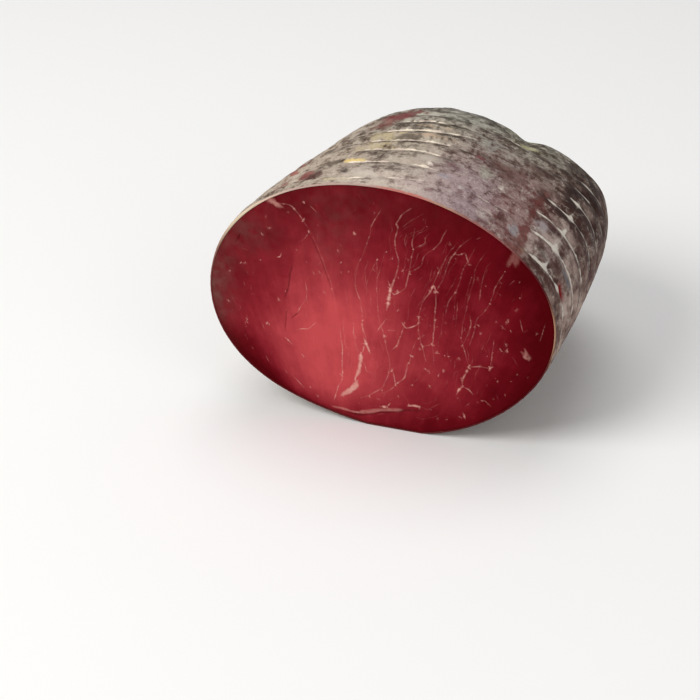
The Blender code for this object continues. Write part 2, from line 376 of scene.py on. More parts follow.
# How a stroke is drawn, in millimetres: its step, where it counts as thick, its fading edge and its tapered
# ends, and the sizes of its wobble, knots, beads and lumps.
STROKE_STEP_MM = 0.35
THICK_MM = 1.0
FADE_MM = 0.17
TAPER_MM, TIP_SHARE = 2.2, 0.35
WOBBLE_SIZE_MM = 3.0
KNOT_SIZE_MM, BEAD_SIZE_MM = 3.2, 1.0
LUMP_SIZE_MM, BLOTCH_SIZE_MM = 2.6, 1.6
LEAST_HALF_WIDTH_MM = 0.05
EDGED_HALF_WIDTH_MM = 0.2
SOLID_SHARE = 0.6
CURVE_STEPS = 12
CRACK_SEED, HAIR_SEED, FLECK_SEED = 90, 200, 400

# The scattered fat: how many hairs, flecks and specks, how wide, how strong, and where they may lie.
FIBRE_SOURCE_MM = (-8, -85)
FIBRE_RADIUS_MM = 110
HAIR_COUNT, HAIR_WIDTH_MM, HAIR_STRENGTHS, HAIR_WOBBLE_MM = 90, 0.18, (0.03, 0.11), 0.5
HAIR_STEPS, HAIR_STRIDE, HAIR_SHIFTS_MM = (14, 70), 6, (5.0, 3.0)
HAIRS_FROM_MM, HAIR_MARGIN = -16, 0.002
LONG_VEIN_POINTS = 30
FLECK_COUNT, FLECK_WIDTHS_MM, FLECK_STRENGTHS, FLECK_WOBBLE_MM = 110, (0.15, 0.4), (0.06, 0.26), 0.4
FLECK_LENGTHS_MM, FLECK_TURN, FLECK_FIELD_MM = (0.8, 3.0), 0.5, ((-66, 8), (70, 108))
SPECK_COUNT, SPECK_WIDTHS_MM, SPECK_STRENGTHS = 115, (0.2, 0.42), (0.08, 0.38)
SPECK_ACROSS_MM, SPECK_UP_MM, SPECK_MARGIN = (-70, 72), (6, 110), 0.003
DRAWN_SPECK_SHARE, DRAWN_SPECK_STRENGTHS = 0.55, (0.3, 0.75)
KNOT_WIDTH_MM, KNOT_SHARES, KNOT_STRENGTHS = 0.75, (0.6, 1.1), (0.4, 0.8)
KNOTTED_MM, KNOT_REACH_MM = 0.5, 1.3
CRUMBS_PER_SPECK, CRUMB_SHARE, CRUMB_SHIFT, CRUMB_STRETCH = 4, 0.55, 0.6, (0.8, 1.4)

# The cut's mesh: its rim and the loops just inside it, its rounded edge, and the even grid between the
# strokes. Then come the cut's gentle swell and the relief of the fat and the cracks.
SKIN_AT_RIM = 0.0005
RIM_TUCK = 0.0001
RIM_COLUMNS = 440
RIM_LOOPS = (0, 0.0003, 0.0007, 0.0012, 0.0019)
RIM_FALL, RIM_FALL_WIDTH = 0.00035, 0.0006
STROKE_MARGIN, GRID_MARGIN = 0.0004, 0.0006
GROUND_GAP = 0.0004
SAME_PLACE_MM = 0.13
GRID_MM, GRID_SHAKE_MM, LEAST_GAP_MM = 0.95, 0.12, 0.42
GRID_ACROSS_MM, GRID_UP_MM = (-80, 80), (0, 120)
SPECK_CORNERS = 6
SWELL, SWELL_SIZE_MM = 0.00022, 22
FINE_SWELL, FINE_SWELL_SIZE_MM = 0.00006, 5
CALM_RIM = 0.004
FAT_HEIGHT, CRACK_DEPTH = 0.00005, 0.00028

draw = np.random.default_rng(7)


def curve_through(points, step):
    """Points every step along a smooth curve through the ones given."""
    points = np.array(points, float)
    ends = np.vstack([2 * points[0] - points[1], points, 2 * points[-1] - points[-2]])
    share = np.linspace(0, 1, CURVE_STEPS, endpoint=False)[:, None]
    pieces = []
    for before, start, end, after in zip(ends, ends[1:], ends[2:], ends[3:]):
        bend = 2 * before - 5 * start + 4 * end - after
        twist = -before + 3 * start - 3 * end + after
        pieces.append(0.5 * (2 * start + (end - before) * share + bend * share**2 + twist * share**3))
    fine = np.vstack(pieces + [points[-1:]])
    run = np.concatenate([[0], np.cumsum(np.hypot(*np.diff(fine, axis=0).T))])
    places = np.linspace(0, run[-1], max(2, int(round(run[-1] / step)) + 1))
    return np.column_stack([np.interp(places, run, fine[:, 0]), np.interp(places, run, fine[:, 1])])


def stroke(points, width, strength, seed, wobble=0.25, beaded=True):
    """A drawn line as rows of right, up, half width and strength, uneven as a thread of fat is."""
    line = curve_through(points, STROKE_STEP_MM)
    flat = np.column_stack([line, np.zeros(len(line))])
    sway = [wave(flat, WOBBLE_SIZE_MM, seed), wave(flat, WOBBLE_SIZE_MM, seed + 0.5)]
    line = line + wobble * np.column_stack(sway)
    flat[:, :2] = line
    from_end = np.minimum(np.arange(len(line)), np.arange(len(line))[::-1]) * STROKE_STEP_MM
    taper = TIP_SHARE + (1 - TIP_SHARE) * np.minimum(1, from_end / TAPER_MM)
    if beaded and width < THICK_MM:
        knots = smooth_step(wave(flat, KNOT_SIZE_MM, seed + 1), -0.10, 0.50)
        beads = smooth_step(wave(flat, BEAD_SIZE_MM, seed + 2), 0.20, 0.50)
        half_width = width / 2 * taper * (0.78 + 0.30 * knots + 0.70 * beads)
        strong = strength * taper * (0.44 + (1.30 - strength) * knots + 0.95 * beads)
    else:
        half_width = width / 2 * taper * (1 + 0.5 * wave(flat, LUMP_SIZE_MM, seed + 1))
        strong = strength * (0.4 + 0.6 * taper) * (1 + 0.5 * wave(flat, BLOTCH_SIZE_MM, seed + 2))
    return np.column_stack([line, np.maximum(half_width, LEAST_HALF_WIDTH_MM), np.clip(strong, 0.02, 1)])


def strokes_from(table, first_seed, beaded):
    """The strokes that a table of named lines draws."""
    strokes = []
    for seed, (_, width, strength, points) in enumerate(table):
        strokes.append(stroke(points, width, strength, first_seed + seed, beaded=beaded))
    return strokes


def beside(line):
    """Mesh points along a stroke: its middle, its two edges, and just outside them."""
    heading = np.gradient(line[:, :2], axis=0)
    heading /= np.maximum(np.hypot(*heading.T), 1e-9)[:, None]
    across = np.column_stack([-heading[:, 1], heading[:, 0]])
    middle, half_width = line[:, :2], line[:, 2:3]
    rows = [middle]
    for side in (-1, 1):
        if half_width.max() > EDGED_HALF_WIDTH_MM:
            rows.append(middle + side * half_width * across)
        rows.append(middle + side * (half_width + FADE_MM) * across)
    return np.vstack(rows)


def search_tree(places):
    """A tree that quickly finds which of these places of the cut are near another."""
    tree = kdtree.KDTree(len(places))
    for index, (right, up) in enumerate(places):
        tree.insert((right, up, 0), index)
    tree.balance()
    return tree


def painted(places, strokes):
    """How strongly the strokes cover each place of the cut, from 0 to 1."""
    tree = search_tree(strokes[:, :2])
    reach = strokes[:, 2].max() + FADE_MM
    cover = np.zeros(len(places))
    for index, (right, up) in enumerate(places):
        for _, near, distance in tree.find_range((right, up, 0), reach):
            half_width, strength = strokes[near, 2], strokes[near, 3]
            faded = (distance - SOLID_SHARE * half_width) / ((1 - SOLID_SHARE) * half_width + FADE_MM * 0.8)
            cover[index] = max(cover[index], strength * min(max(1 - faded, 0), 1))
    return cover


def inside_rim(places, margin):
    """Which places, in millimetres, are inside the cut's rim by this margin in metres."""
    right, up = places[:, 0] / 1000, places[:, 1] / 1000 - middle_height
    return np.hypot(right, up) < cut_radius(np.arctan2(up, right)) - SKIN_AT_RIM - margin


vein_strokes = strokes_from(VEINS, 0, True)
crack_strokes = strokes_from(CRACKS, CRACK_SEED, False)

# Hairs of fat run beside the threads. Each is a stretch of one, moved off it.
hairs = []
long_veins = [line[:, :2] for line in vein_strokes if len(line) > LONG_VEIN_POINTS]
while len(hairs) < HAIR_COUNT:
    line = long_veins[draw.integers(len(long_veins))]
    start = draw.integers(0, len(line) - HAIR_STEPS[0])
    part = line[start : start + draw.integers(*HAIR_STEPS)][::HAIR_STRIDE] + draw.normal(0, HAIR_SHIFTS_MM)
    if len(part) > 2 and part[:, 0].min() > HAIRS_FROM_MM and inside_rim(part, HAIR_MARGIN).all():
        seed = HAIR_SEED + len(hairs)
        hairs.append(stroke(part, HAIR_WIDTH_MM, draw.uniform(*HAIR_STRENGTHS), seed, HAIR_WOBBLE_MM))

# Short flecks of fat lie scattered between the threads, nearly along the fibres.
flecks = []
while len(flecks) < FLECK_COUNT:
    start = draw.uniform(*FLECK_FIELD_MM)
    turn = np.arctan2(*(start - FIBRE_SOURCE_MM)) + draw.normal(0, FLECK_TURN)
    part = start + np.outer((0, 0.5, 1), (np.sin(turn), np.cos(turn))) * draw.uniform(*FLECK_LENGTHS_MM)
    if inside_rim(part, SPECK_MARGIN).all():
        width, strong = draw.uniform(*FLECK_WIDTHS_MM), draw.uniform(*FLECK_STRENGTHS)
        flecks.append(stroke(part, width, strong, FLECK_SEED + len(flecks), FLECK_WOBBLE_MM))

# Where a thread ends on another, the fat gathers in a knot. The other specks are drawn or scattered, most
# of them low on the right, and each one is a few crumbs.
specks = []
for right, up, width in SPECKS:
    specks.append((right, up, width / 2 * DRAWN_SPECK_SHARE, draw.uniform(*DRAWN_SPECK_STRENGTHS)))
for here, line in enumerate(vein_strokes):
    others = np.vstack([other[:, :2] for there, other in enumerate(vein_strokes) if there != here])
    for end_place in (line[0, :2], line[-1, :2]):
        if line[:, 2].max() < KNOTTED_MM and np.hypot(*(others - end_place).T).min() < KNOT_REACH_MM:
            half_width = KNOT_WIDTH_MM / 2 * draw.uniform(*KNOT_SHARES)
            specks.append((*end_place, half_width, draw.uniform(*KNOT_STRENGTHS)))
while len(specks) < len(SPECKS) + SPECK_COUNT:
    right, up = draw.uniform(*SPECK_ACROSS_MM), draw.uniform(*SPECK_UP_MM)
    width, strong = draw.uniform(*SPECK_WIDTHS_MM), draw.uniform(*SPECK_STRENGTHS)
    likely = 0.20 + 0.25 * (right > 0) + 0.55 * (right > 15 and up < 62)
    if draw.random() < likely and inside_rim(np.array([[right, up]]), SPECK_MARGIN)[0]:
        specks.append((right, up, width / 2, strong))
specks = np.array(specks)
crumbs = []
for _ in range(CRUMBS_PER_SPECK):
    crumb = specks * (1, 1, CRUMB_SHARE, 1)
    crumb[:, :2] += specks[:, 2:3] * draw.normal(0, CRUMB_SHIFT, (len(specks), 2)) * CRUMB_STRETCH
    crumbs.append(crumb)

# The points of the cut's mesh: loops at the rim, close rows along everything drawn, an even grid between.
rim_angle = np.linspace(0, 2 * np.pi, RIM_COLUMNS, endpoint=False)
loops = []
for inside in RIM_LOOPS:
    reach = cut_radius(rim_angle) - SKIN_AT_RIM + RIM_TUCK - inside
    height = np.maximum(reach * np.sin(rim_angle) + middle_height, GROUND_GAP + inside)
    loops.append(np.column_stack([reach * np.cos(rim_angle), height]) * 1000)
drawn = [beside(line) for line in vein_strokes + crack_strokes + hairs + flecks]
corners = np.linspace(0, 2 * np.pi, SPECK_CORNERS, endpoint=False)
for right, up, half_width, _ in specks:
    drawn.append(np.array([[right, up]]))
    for reach in (half_width, half_width + FADE_MM):
        drawn.append(np.column_stack([right + reach * np.cos(corners), up + reach * np.sin(corners)]))
drawn = np.vstack(drawn)
drawn = drawn[inside_rim(drawn, RIM_LOOPS[-1] + STROKE_MARGIN)]
_, keep = np.unique(np.round(drawn / SAME_PLACE_MM).astype(int), axis=0, return_index=True)
drawn = drawn[np.sort(keep)]
steps_right = np.arange(*GRID_ACROSS_MM, GRID_MM)
steps_up = np.arange(*GRID_UP_MM, GRID_MM * np.sqrt(3) / 2)
grid_right, grid_up = np.meshgrid(steps_right, steps_up)
grid_right[1::2] += GRID_MM / 2
grid = np.column_stack([grid_right.ravel(), grid_up.ravel()])
grid += draw.uniform(-GRID_SHAKE_MM, GRID_SHAKE_MM, grid.shape)
grid = grid[inside_rim(grid, RIM_LOOPS[-1] + GRID_MARGIN)]
tree = search_tree(drawn)
grid = grid[[tree.find((right, up, 0))[2] > LEAST_GAP_MM for right, up in grid]]

rim_edges = [(index, (index + 1) % RIM_COLUMNS) for index in range(RIM_COLUMNS)]
flat, _, cut_faces, sources, _, _ = geometry.delaunay_2d_cdt(
    [Vector(point) for point in np.vstack([*loops, drawn, grid])], rim_edges, [], 1, 1e-5, True
)
places = np.array([tuple(point) for point in flat])
rim_index = {source: index for index, found in enumerate(sources) for source in found}
rim = [rim_index[column] for column in range(RIM_COLUMNS)]

fat = painted(places, np.vstack(vein_strokes + hairs + flecks + crumbs))
crack = painted(places, np.vstack(crack_strokes))
right, up = places.T
out = np.column_stack([right / 1000, up / 1000 - middle_height])
out_angle = np.arctan2(out[:, 1], out[:, 0])
from_rim = cut_radius(out_angle) - SKIN_AT_RIM + RIM_TUCK - np.hypot(*out.T)
from_rim = np.minimum(from_rim, up / 1000 - GROUND_GAP)
level = np.column_stack([right, up, np.zeros(len(right))])
swell = SWELL * wave(level, SWELL_SIZE_MM, 31) + FINE_SWELL * wave(level, FINE_SWELL_SIZE_MM, 32)
proud = swell * (1 - np.exp(-from_rim / CALM_RIM)) + FAT_HEIGHT * fat - CRACK_DEPTH * crack
proud -= RIM_FALL * ridge(from_rim, RIM_FALL_WIDTH)
cut_points = np.column_stack([right / 1000, -proud, up / 1000]) + [body_shift[0], body_shift[1], 0]

# How pale the meat is, from 0, the darkest crimson, to 1: its rest, and named areas that add to it, each
# with its middle and half sizes in millimetres. Besides the meat's own tone, the areas paint a soft sheen of
# the light, brightest in the heart and the broad middle.
PALENESS = 0.30
PALE_AND_SHEEN_AREAS = (
    ("heart", -18, 36, 20, 32, 0.52),
    ("broad middle", 5, 40, 34, 26, 0.2),
    ("between the seams", 0, 68, 7, 16, 0.09),
    ("beyond the long crack", -44, 40, 10, 18, 0.23),
    ("far left", -61, 68, 8, 9, -0.1),
    ("right of the seams", 20, 70, 9, 17, -0.1),
    ("right middle", 45, 68, 14, 11, -0.06),
    ("low middle", 32, 27, 12, 8, 0.09),
    ("low left foot", -23, 18, 7, 5, 0.06),
    ("left middle", -60, 46, 7, 9, 0.06),
    ("right rim", 73, 55, 10, 42, -0.36),
    ("low right", 55, 20, 12, 14, -0.26),
    ("top", -2, 108, 50, 6, -0.05),
    ("top left", -30, 100, 10, 5, -0.12),
    ("top right", 32, 102, 22, 9, -0.14),
    ("far top right", 60, 84, 8, 9, -0.16),
    ("left rim below", -57, 21, 9, 12, -0.36),
    ("lower lobe", 14, 3, 26, 6, -0.13),
    ("low left rim", -47, 17, 5, 7, -0.14),
    ("between the curves", 1, 31, 5, 9, -0.07),
    ("below the right rim", 22, 91, 14, 7, 0.07),
    ("middle's dark cloud", 14, 60, 7, 6, -0.03),
    ("middle's pale cloud", 24, 43, 8, 7, 0.05),
    ("upper middle's dark cloud", -8, 74, 7, 5, -0.02),
    ("heart's foot", -21, 18, 10, 6, 0.07),
    ("top right corner", 45, 88, 12, 7, -0.06),
)

# Where one bundle of the muscle meets the next: how the tone steps on its left side, how far the step
# takes to fade and how soft its edge is in millimetres, and the line between them.
MUSCLE_STEPS = (
    ("by the long crack", -0.11, 9, 1.8, ((-29, 92), (-34, 83.5), (-37, 73), (-39.5, 60), (-40.5, 50),
        (-41, 40))),
    ("under the upper seam", 0.09, 9, 0.7, ((-31, 92), (-27, 85), (-22.5, 73), (-18.5, 60), (-16.5, 46),
        (-15.5, 34))),
)

# A dull grey film where the cut dried in the air, with a painted grey sheen of the light over it, at the
# left rim and along the top.
FILM_AND_SHEEN_AREAS = (
    ("left rim", -73, 62, 6, 17, 0.62),
    ("upper left rim", -60, 86, 9, 7, 0.3),
    ("under the crown", -20, 88, 8, 12, 0.16),
    ("top rim", -14, 105, 26, 7, 0.12),
    ("left side", -52, 84, 18, 16, 0.05),
)

# The dark rim, and a darker band along the lower left rim, which reach this far in.
RIM_SHADE, RIM_SHADE_REACH = 0.10, 0.0016
LOW_LEFT_DARKENING, LOW_LEFT_DARKENING_REACH, LOW_LEFT_DARKENING_DEGREES = 0.45, 0.0035, (-135, 24)


def add_areas(values, areas):
    """Adds the named areas to a number at each place of the cut."""
    for _, middle, height, half_width, half_height, change in areas:
        apart = ((right - middle) / half_width) ** 2 + ((up - height) / half_height) ** 2
        values += change * np.exp(-0.5 * apart)


# The meat's own tone, with the painted sheen of the light in the heart and middle.
pale = np.full(len(right), PALENESS)
add_areas(pale, PALE_AND_SHEEN_AREAS)
for _, change, fade, soft, line in MUSCLE_STEPS:
    line = curve_through(line, 1.0)
    nearest = np.array([np.hypot(*(line - place).T).argmin() for place in places])
    heading = np.gradient(line, axis=0)[nearest]
    away = places - line[nearest]
    gap = np.hypot(*away.T)
    side = (heading[:, 0] * away[:, 1] - heading[:, 1] * away[:, 0]) / np.maximum(gap, 1e-6)
    far = np.abs(up - np.mean(line[:, 1])) / np.ptp(line[:, 1]) * 2
    step = smooth_step(-side * gap, -soft, soft) * ridge(gap, fade)
    pale += change * step * (1 - smooth_step(far, 0.75, 1.05))

# Fibres fan out over the cut from a point below the table. The tone is uneven along them, and in clouds.
FIBRE_SHRINK = 0.08
from_source = places - FIBRE_SOURCE_MM
across, outward = np.arctan2(*from_source.T) * FIBRE_RADIUS_MM, np.hypot(*from_source.T)
fibres = np.column_stack([across, outward * FIBRE_SHRINK, np.zeros(len(across))])
for pattern, size, seed, share in (
    (fibres, 5.0, 41, 0.05), (level, 12, 42, 0.09), (fibres, 1.6, 43, 0.04), (level, 3.2, 45, 0.035),
):
    pale += share * rough(pattern, size, seed)
pale -= RIM_SHADE * np.exp(-from_rim / RIM_SHADE_REACH)
# Darker along the lower left rim.
pale -= LOW_LEFT_DARKENING * hill_round(out_angle, *LOW_LEFT_DARKENING_DEGREES) * np.exp(-from_rim / LOW_LEFT_DARKENING_REACH)
# The dried grey film and its painted sheen of the light.
film_and_sheen = np.zeros(len(right))
add_areas(film_and_sheen, FILM_AND_SHEEN_AREAS)
film_and_sheen *= 0.85 + 0.5 * rough(level, 6.0, 44)

# Behind the cut the meat fills the skin, out of sight: fewer columns, and rows back to the closed end. It
# starts just under the thin cut edge, and deeper where the net pressed its rings in.
STEP_DOWN = 4
FIRST_ROW = 0.002
BACK_ROWS = tuple(np.linspace(0.006, WHOLE_SKIN - 0.010, 27))
UNDER_SKIN, UNDER_SKIN_FROM = 0.0040, 0.010


def depth_under_skin(skin_distance):
    """How deep under the skin's outside the meat starts."""
    return SKIN_AT_RIM + (UNDER_SKIN - SKIN_AT_RIM) * min(1, skin_distance / UNDER_SKIN_FROM)


def add_row(points, row):
    """Adds points to a growing list, and gives the numbers that they get."""
    first = sum(len(part) for part in points)
    points.append(row)
    return list(range(first, first + len(row)))


def band(near, far):
    """Faces between two closed rows of the same number of points."""
    count = len(near)
    return [(near[i], near[(i + 1) % count], far[(i + 1) % count], far[i]) for i in range(count)]


def band_to_fewer(near, far):
    """Faces between a closed row and one with a quarter as many points."""
    found = []
    for here in range(len(far)):
        first = here * STEP_DOWN
        start, end = far[here], far[(here + 1) % len(far)]
        around = [near[(first + step) % len(near)] for step in range(STEP_DOWN + 1)]
        half = STEP_DOWN // 2
        found += [(a, b, start) for a, b in zip(around[:half], around[1 : half + 1])]
        found.append((around[half], end, start))
        found += [(a, b, end) for a, b in zip(around[half:-1], around[half + 1 :])]
    return found


def close_back(points, faces, rows):
    """Joins rows with bands, and closes the last one on a point in its middle."""
    for near, far in zip(rows, rows[1:]):
        faces += band(near, far)
    tip = add_row(points, np.vstack(points)[rows[-1]].mean(axis=0)[None])[0]
    faces += [(here, there, tip) for here, there in zip(rows[-1], rows[-1][1:] + rows[-1][:1])]


points = [cut_points]
faces = [list(face) for face in cut_faces]
rows = [rim]
for distance in (FIRST_ROW,) + BACK_ROWS:
    turns = rim_angle if distance == FIRST_ROW else rim_angle[::STEP_DOWN]
    inset = depth_under_skin(distance) - RIM_TUCK / 2
    rows.append(add_row(points, body_place(turns, np.full(len(turns), distance), inset) + body_shift))
faces += band(rows[0], rows[1]) + band_to_fewer(rows[1], rows[2])
close_back(points, faces, rows[2:])


def finished(name, points, faces):
    """A piece made of these points and faces, smooth, with its faces turned outwards."""
    mesh = bpy.data.meshes.new(name)
    mesh.from_pydata(np.vstack(points).tolist(), [], faces)
    piece = bpy.data.objects.new(name, mesh)
    bpy.context.scene.collection.objects.link(piece)
    bpy.ops.object.select_all(action="DESELECT")
    piece.select_set(True)
    bpy.context.view_layer.objects.active = piece
    bpy.ops.object.mode_set(mode="EDIT")
    bpy.ops.mesh.select_all(action="SELECT")
    bpy.ops.mesh.normals_make_consistent(inside=False)
    bpy.ops.object.mode_set(mode="OBJECT")
    bpy.ops.object.shade_smooth()
    return piece


def paint(piece, name, values, rest=0.0):
    """Keeps a number, or three, for each point of the piece. Points past the list take the rest."""
    kind, field = ("FLOAT", "value") if values.ndim == 1 else ("FLOAT_VECTOR", "vector")
    layer = piece.data.attributes.new(name, kind, "POINT")
    every = np.full((len(piece.data.vertices), *values.shape[1:]), rest, np.float32)
    every[: len(values)] = values
    layer.data.foreach_set(field, every.ravel())


meat = finished("cured_meat", points, faces)
paint(meat, "fat", fat)
paint(meat, "crack", crack)
paint(meat, "pale", np.clip(pale, 0, 1), 0.1)
paint(meat, "film_and_sheen", np.clip(film_and_sheen, 0, 1))
paint(meat, "fibre", np.column_stack([across, outward * 0.1, up * 0.02]) / 1000)


def light_values(colour):
    """A colour as a screen names it, 0 to 255, as the shares of light that a shader takes."""
    share = np.array(colour) / 255
    return np.where(share <= 0.04045, share / 12.92, ((share + 0.055) / 1.055) ** 2.4)


def shade_of(*colour):
    """The same as a shader's socket takes it, opaque."""
    return (*light_values(colour).tolist(), 1)


def add(tree, kind, inputs=(), **settings):
    """A node with its settings, and its sockets set to a value or joined to another node's socket."""
    made = tree.nodes.new(kind)
    for name, value in settings.items():
        setattr(made, name, value)
    for name, value in dict(inputs).items():
        if isinstance(value, bpy.types.NodeSocket):
            tree.links.new(value, made.inputs[name])
        else:
            made.inputs[name].default_value = value
    return made


def attribute(tree, name, output="Fac"):
    return add(tree, "ShaderNodeAttribute", attribute_name=name).outputs[output]


def grain(tree, place, scale, detail=3, roughness=0.55):
    """Noise from 0 to 1, about 0.5 on average."""
    sockets = {"Vector": place, "Scale": scale, "Detail": detail, "Roughness": roughness}
    return add(tree, "ShaderNodeTexNoise", sockets).outputs[0]


def reckon(tree, operation, *values):
    """One step of arithmetic."""
    return add(tree, "ShaderNodeMath", enumerate(values), operation=operation).outputs[0]


def product(tree, first, *others):
    """All of them multiplied together."""
    for value in others:
        first = reckon(tree, "MULTIPLY", first, value)
    return first


def stirred(tree, value, *patterns):
    """The value moved up and down by patterns of noise, each with its strength."""
    for pattern, strength in patterns:
        value = reckon(tree, "MULTIPLY_ADD", reckon(tree, "SUBTRACT", pattern, 0.5), strength, value)
    return value


def blend(tree, share, first, second):
    """The first colour, giving way to the second as the share goes to 1."""
    return add(tree, "ShaderNodeMix", {0: share, 6: first, 7: second}, data_type="RGBA").outputs[2]


def between(tree, value, low, high):
    """0 below the low value, 1 above the high one, smooth between."""
    sockets = {"Value": value, "From Min": low, "From Max": high}
    return add(tree, "ShaderNodeMapRange", sockets, interpolation_type="SMOOTHSTEP").outputs[0]


def finish_material(piece, made, colour, roughness, gloss, relief):
    """Joins a new material's colour, roughness and relief to its shader, and puts it on its piece."""
    material, tree, shader = made
    strength, distance, height = relief
    bump = add(tree, "ShaderNodeBump", {"Strength": strength, "Distance": distance, "Height": height})
    tree.links.new(colour, shader.inputs["Base Color"])
    tree.links.new(roughness, shader.inputs["Roughness"])
    tree.links.new(bump.outputs[0], shader.inputs["Normal"])
    shader.inputs["Specular IOR Level"].default_value = gloss
    piece.data.materials.append(material)


MEAT_SHADES = (
    (0.00, (76, 0, 6)),
    (0.25, (101, 8, 20)),
    (0.50, (133, 31, 41)),
    (0.75, (163, 55, 62)),
    (1.00, (193, 74, 78)),
)
FAT_COLOUR = shade_of(222, 162, 150)
CRACK_COLOUR = shade_of(62, 10, 14)
FILM_AND_SHEEN_COLOUR = shade_of(112, 82, 76)
MEAT_GLOSS = 0.025
MEAT_RELIEF, MEAT_RELIEF_DEPTH = 0.35, 0.00008

cured, tree, shader = new_material("cured meat")
objects = add(tree, "ShaderNodeTexCoord").outputs["Object"]
fibre = attribute(tree, "fibre", "Vector")
strands = grain(tree, fibre, 1500, 4, 0.6)
fine_strands = grain(tree, fibre, 5200, 2)
clouds = grain(tree, objects, 160, 4)
shade = stirred(tree, attribute(tree, "pale"), (strands, 0.10), (fine_strands, 0.07), (clouds, 0.16))
ramp = add(tree, "ShaderNodeValToRGB", {0: shade})
ramp.color_ramp.elements.remove(ramp.color_ramp.elements[1])
for place, colour in MEAT_SHADES:
    stop = ramp.color_ramp.elements[0] if place == 0 else ramp.color_ramp.elements.new(place)
    stop.position = place
    stop.color = shade_of(*colour)
# The grey film and its painted sheen, broken up by noise.
film_and_sheen_share = product(tree, attribute(tree, "film_and_sheen"), between(tree, grain(tree, objects, 300), 0.1, 0.7))
colour = blend(tree, film_and_sheen_share, ramp.outputs[0], FILM_AND_SHEEN_COLOUR)
fatty = product(tree, attribute(tree, "fat"), between(tree, grain(tree, objects, 1400, 3), 0.05, 0.5))
colour = blend(tree, fatty, colour, FAT_COLOUR)
colour = blend(tree, product(tree, attribute(tree, "crack"), 0.8), colour, CRACK_COLOUR)
satin = reckon(tree, "MULTIPLY_ADD", grain(tree, objects, 420, 3), 0.25, 0.34)
height = reckon(tree, "MULTIPLY_ADD", strands, 0.6, product(tree, fine_strands, 0.4))
relief = (MEAT_RELIEF, MEAT_RELIEF_DEPTH, height)
finish_material(meat, (cured, tree, shader), colour, satin, MEAT_GLOSS, relief)
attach(meat, "root")
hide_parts("bresaola")


# THE SKIN
# A natural casing that dried on the meat under its mould. The netting that pressed it left each of its
# turns as a thin pale crease in a shallow valley, tied to the next by faint lengthwise lines. The mesh is
# laid out in code too, because its rows wander with those creases.
FIRST_RING = 0.0094
RING_PITCH = 0.0116
LAST_RING = 14
COLUMNS = 352
ROW_SHARES = (0, 0.026, 0.052, 0.09, 0.14, 0.22, 0.32, 0.42, 0.52, 0.62, 0.72, 0.80, 0.87, 0.92, 0.957, 0.98)
FRONT_ROWS = (
    0.00012, 0.00045, 0.0012, 0.0022, 0.0034, 0.0046, 0.0057, 0.0066, 0.0073, 0.0079, 0.0084, 0.0088, 0.0091,
)
POLE_GAP = 0.0012
EDGE_ROWS = ((0.00012, 0.00010), (0.00035, 0.00012), (SKIN_AT_RIM, 0.00002))
INNER_ROWS = (0.001, 0.0025, 0.004, 0.006)
FACING_STEP, FACING_TURN = 0.0004, 0.006

BAND_FULLNESS = 0.00060
VALLEY_DEPTH, VALLEY_HALF_WIDTH = 0.00075, 0.0024
CREASE_HEIGHT, STAR_HEIGHT, TIE_HEIGHT = 0.00028, 0.00030, 0.00015
WRINKLE_HEIGHT, WRINKLE_LENGTH = 0.00019, 0.0018
FOLD_HEIGHT, FOLD_LENGTH = 0.00026, 0.0042
LUMP_HEIGHT, LUMP_SIZE = 0.00018, 0.007
CRUST_HEIGHT, CRUST_SIZE = 0.00010, 0.0016
CALM_FRONT, CALM_SHARE = 0.006, 0.15

# How each ring leaves its even place: angle and its spread in degrees, ring, and the shift in millimetres.
RING_BENDS = (
    ("first ring over the shoulder", 108, 13, 0, -4.2),
    ("first ring on the brow", 69, 10, 0, 3.4),
    ("first ring by the valley", 32, 6, 0, -2.6),
    ("second ring on the crown", 88, 14, 1, 1.2),
    ("second ring on the brow", 54, 8, 1, -4.6),
    ("second ring by the valley", 34, 6, 1, -1.6),
    ("third ring on the crown", 88, 14, 2, 1.2),
    ("third ring on the brow", 48, 7, 2, -3.4),
    ("fourth ring on the crown", 92, 16, 3, -0.8),
    ("fourth ring on the flank", 12, 8, 3, 1.6),
    ("fifth ring's end", 72, 6, 4, 3.0),
    ("fifth ring on the flank", 18, 10, 4, 1.2),
    ("sixth ring on the crown", 97, 10, 5, 1.3),
    ("seventh ring on the crest", 56, 6, 6, 2.0),
    ("seventh ring on the flank", 25, 6, 6, -1.5),
)
WANDERS = ((2, 0.0007), (3, 0.0005), (7, 0.0003))
BEND_RINGS = 0.45
BROW_ANGLE, BROW_SPREAD = 60, 38

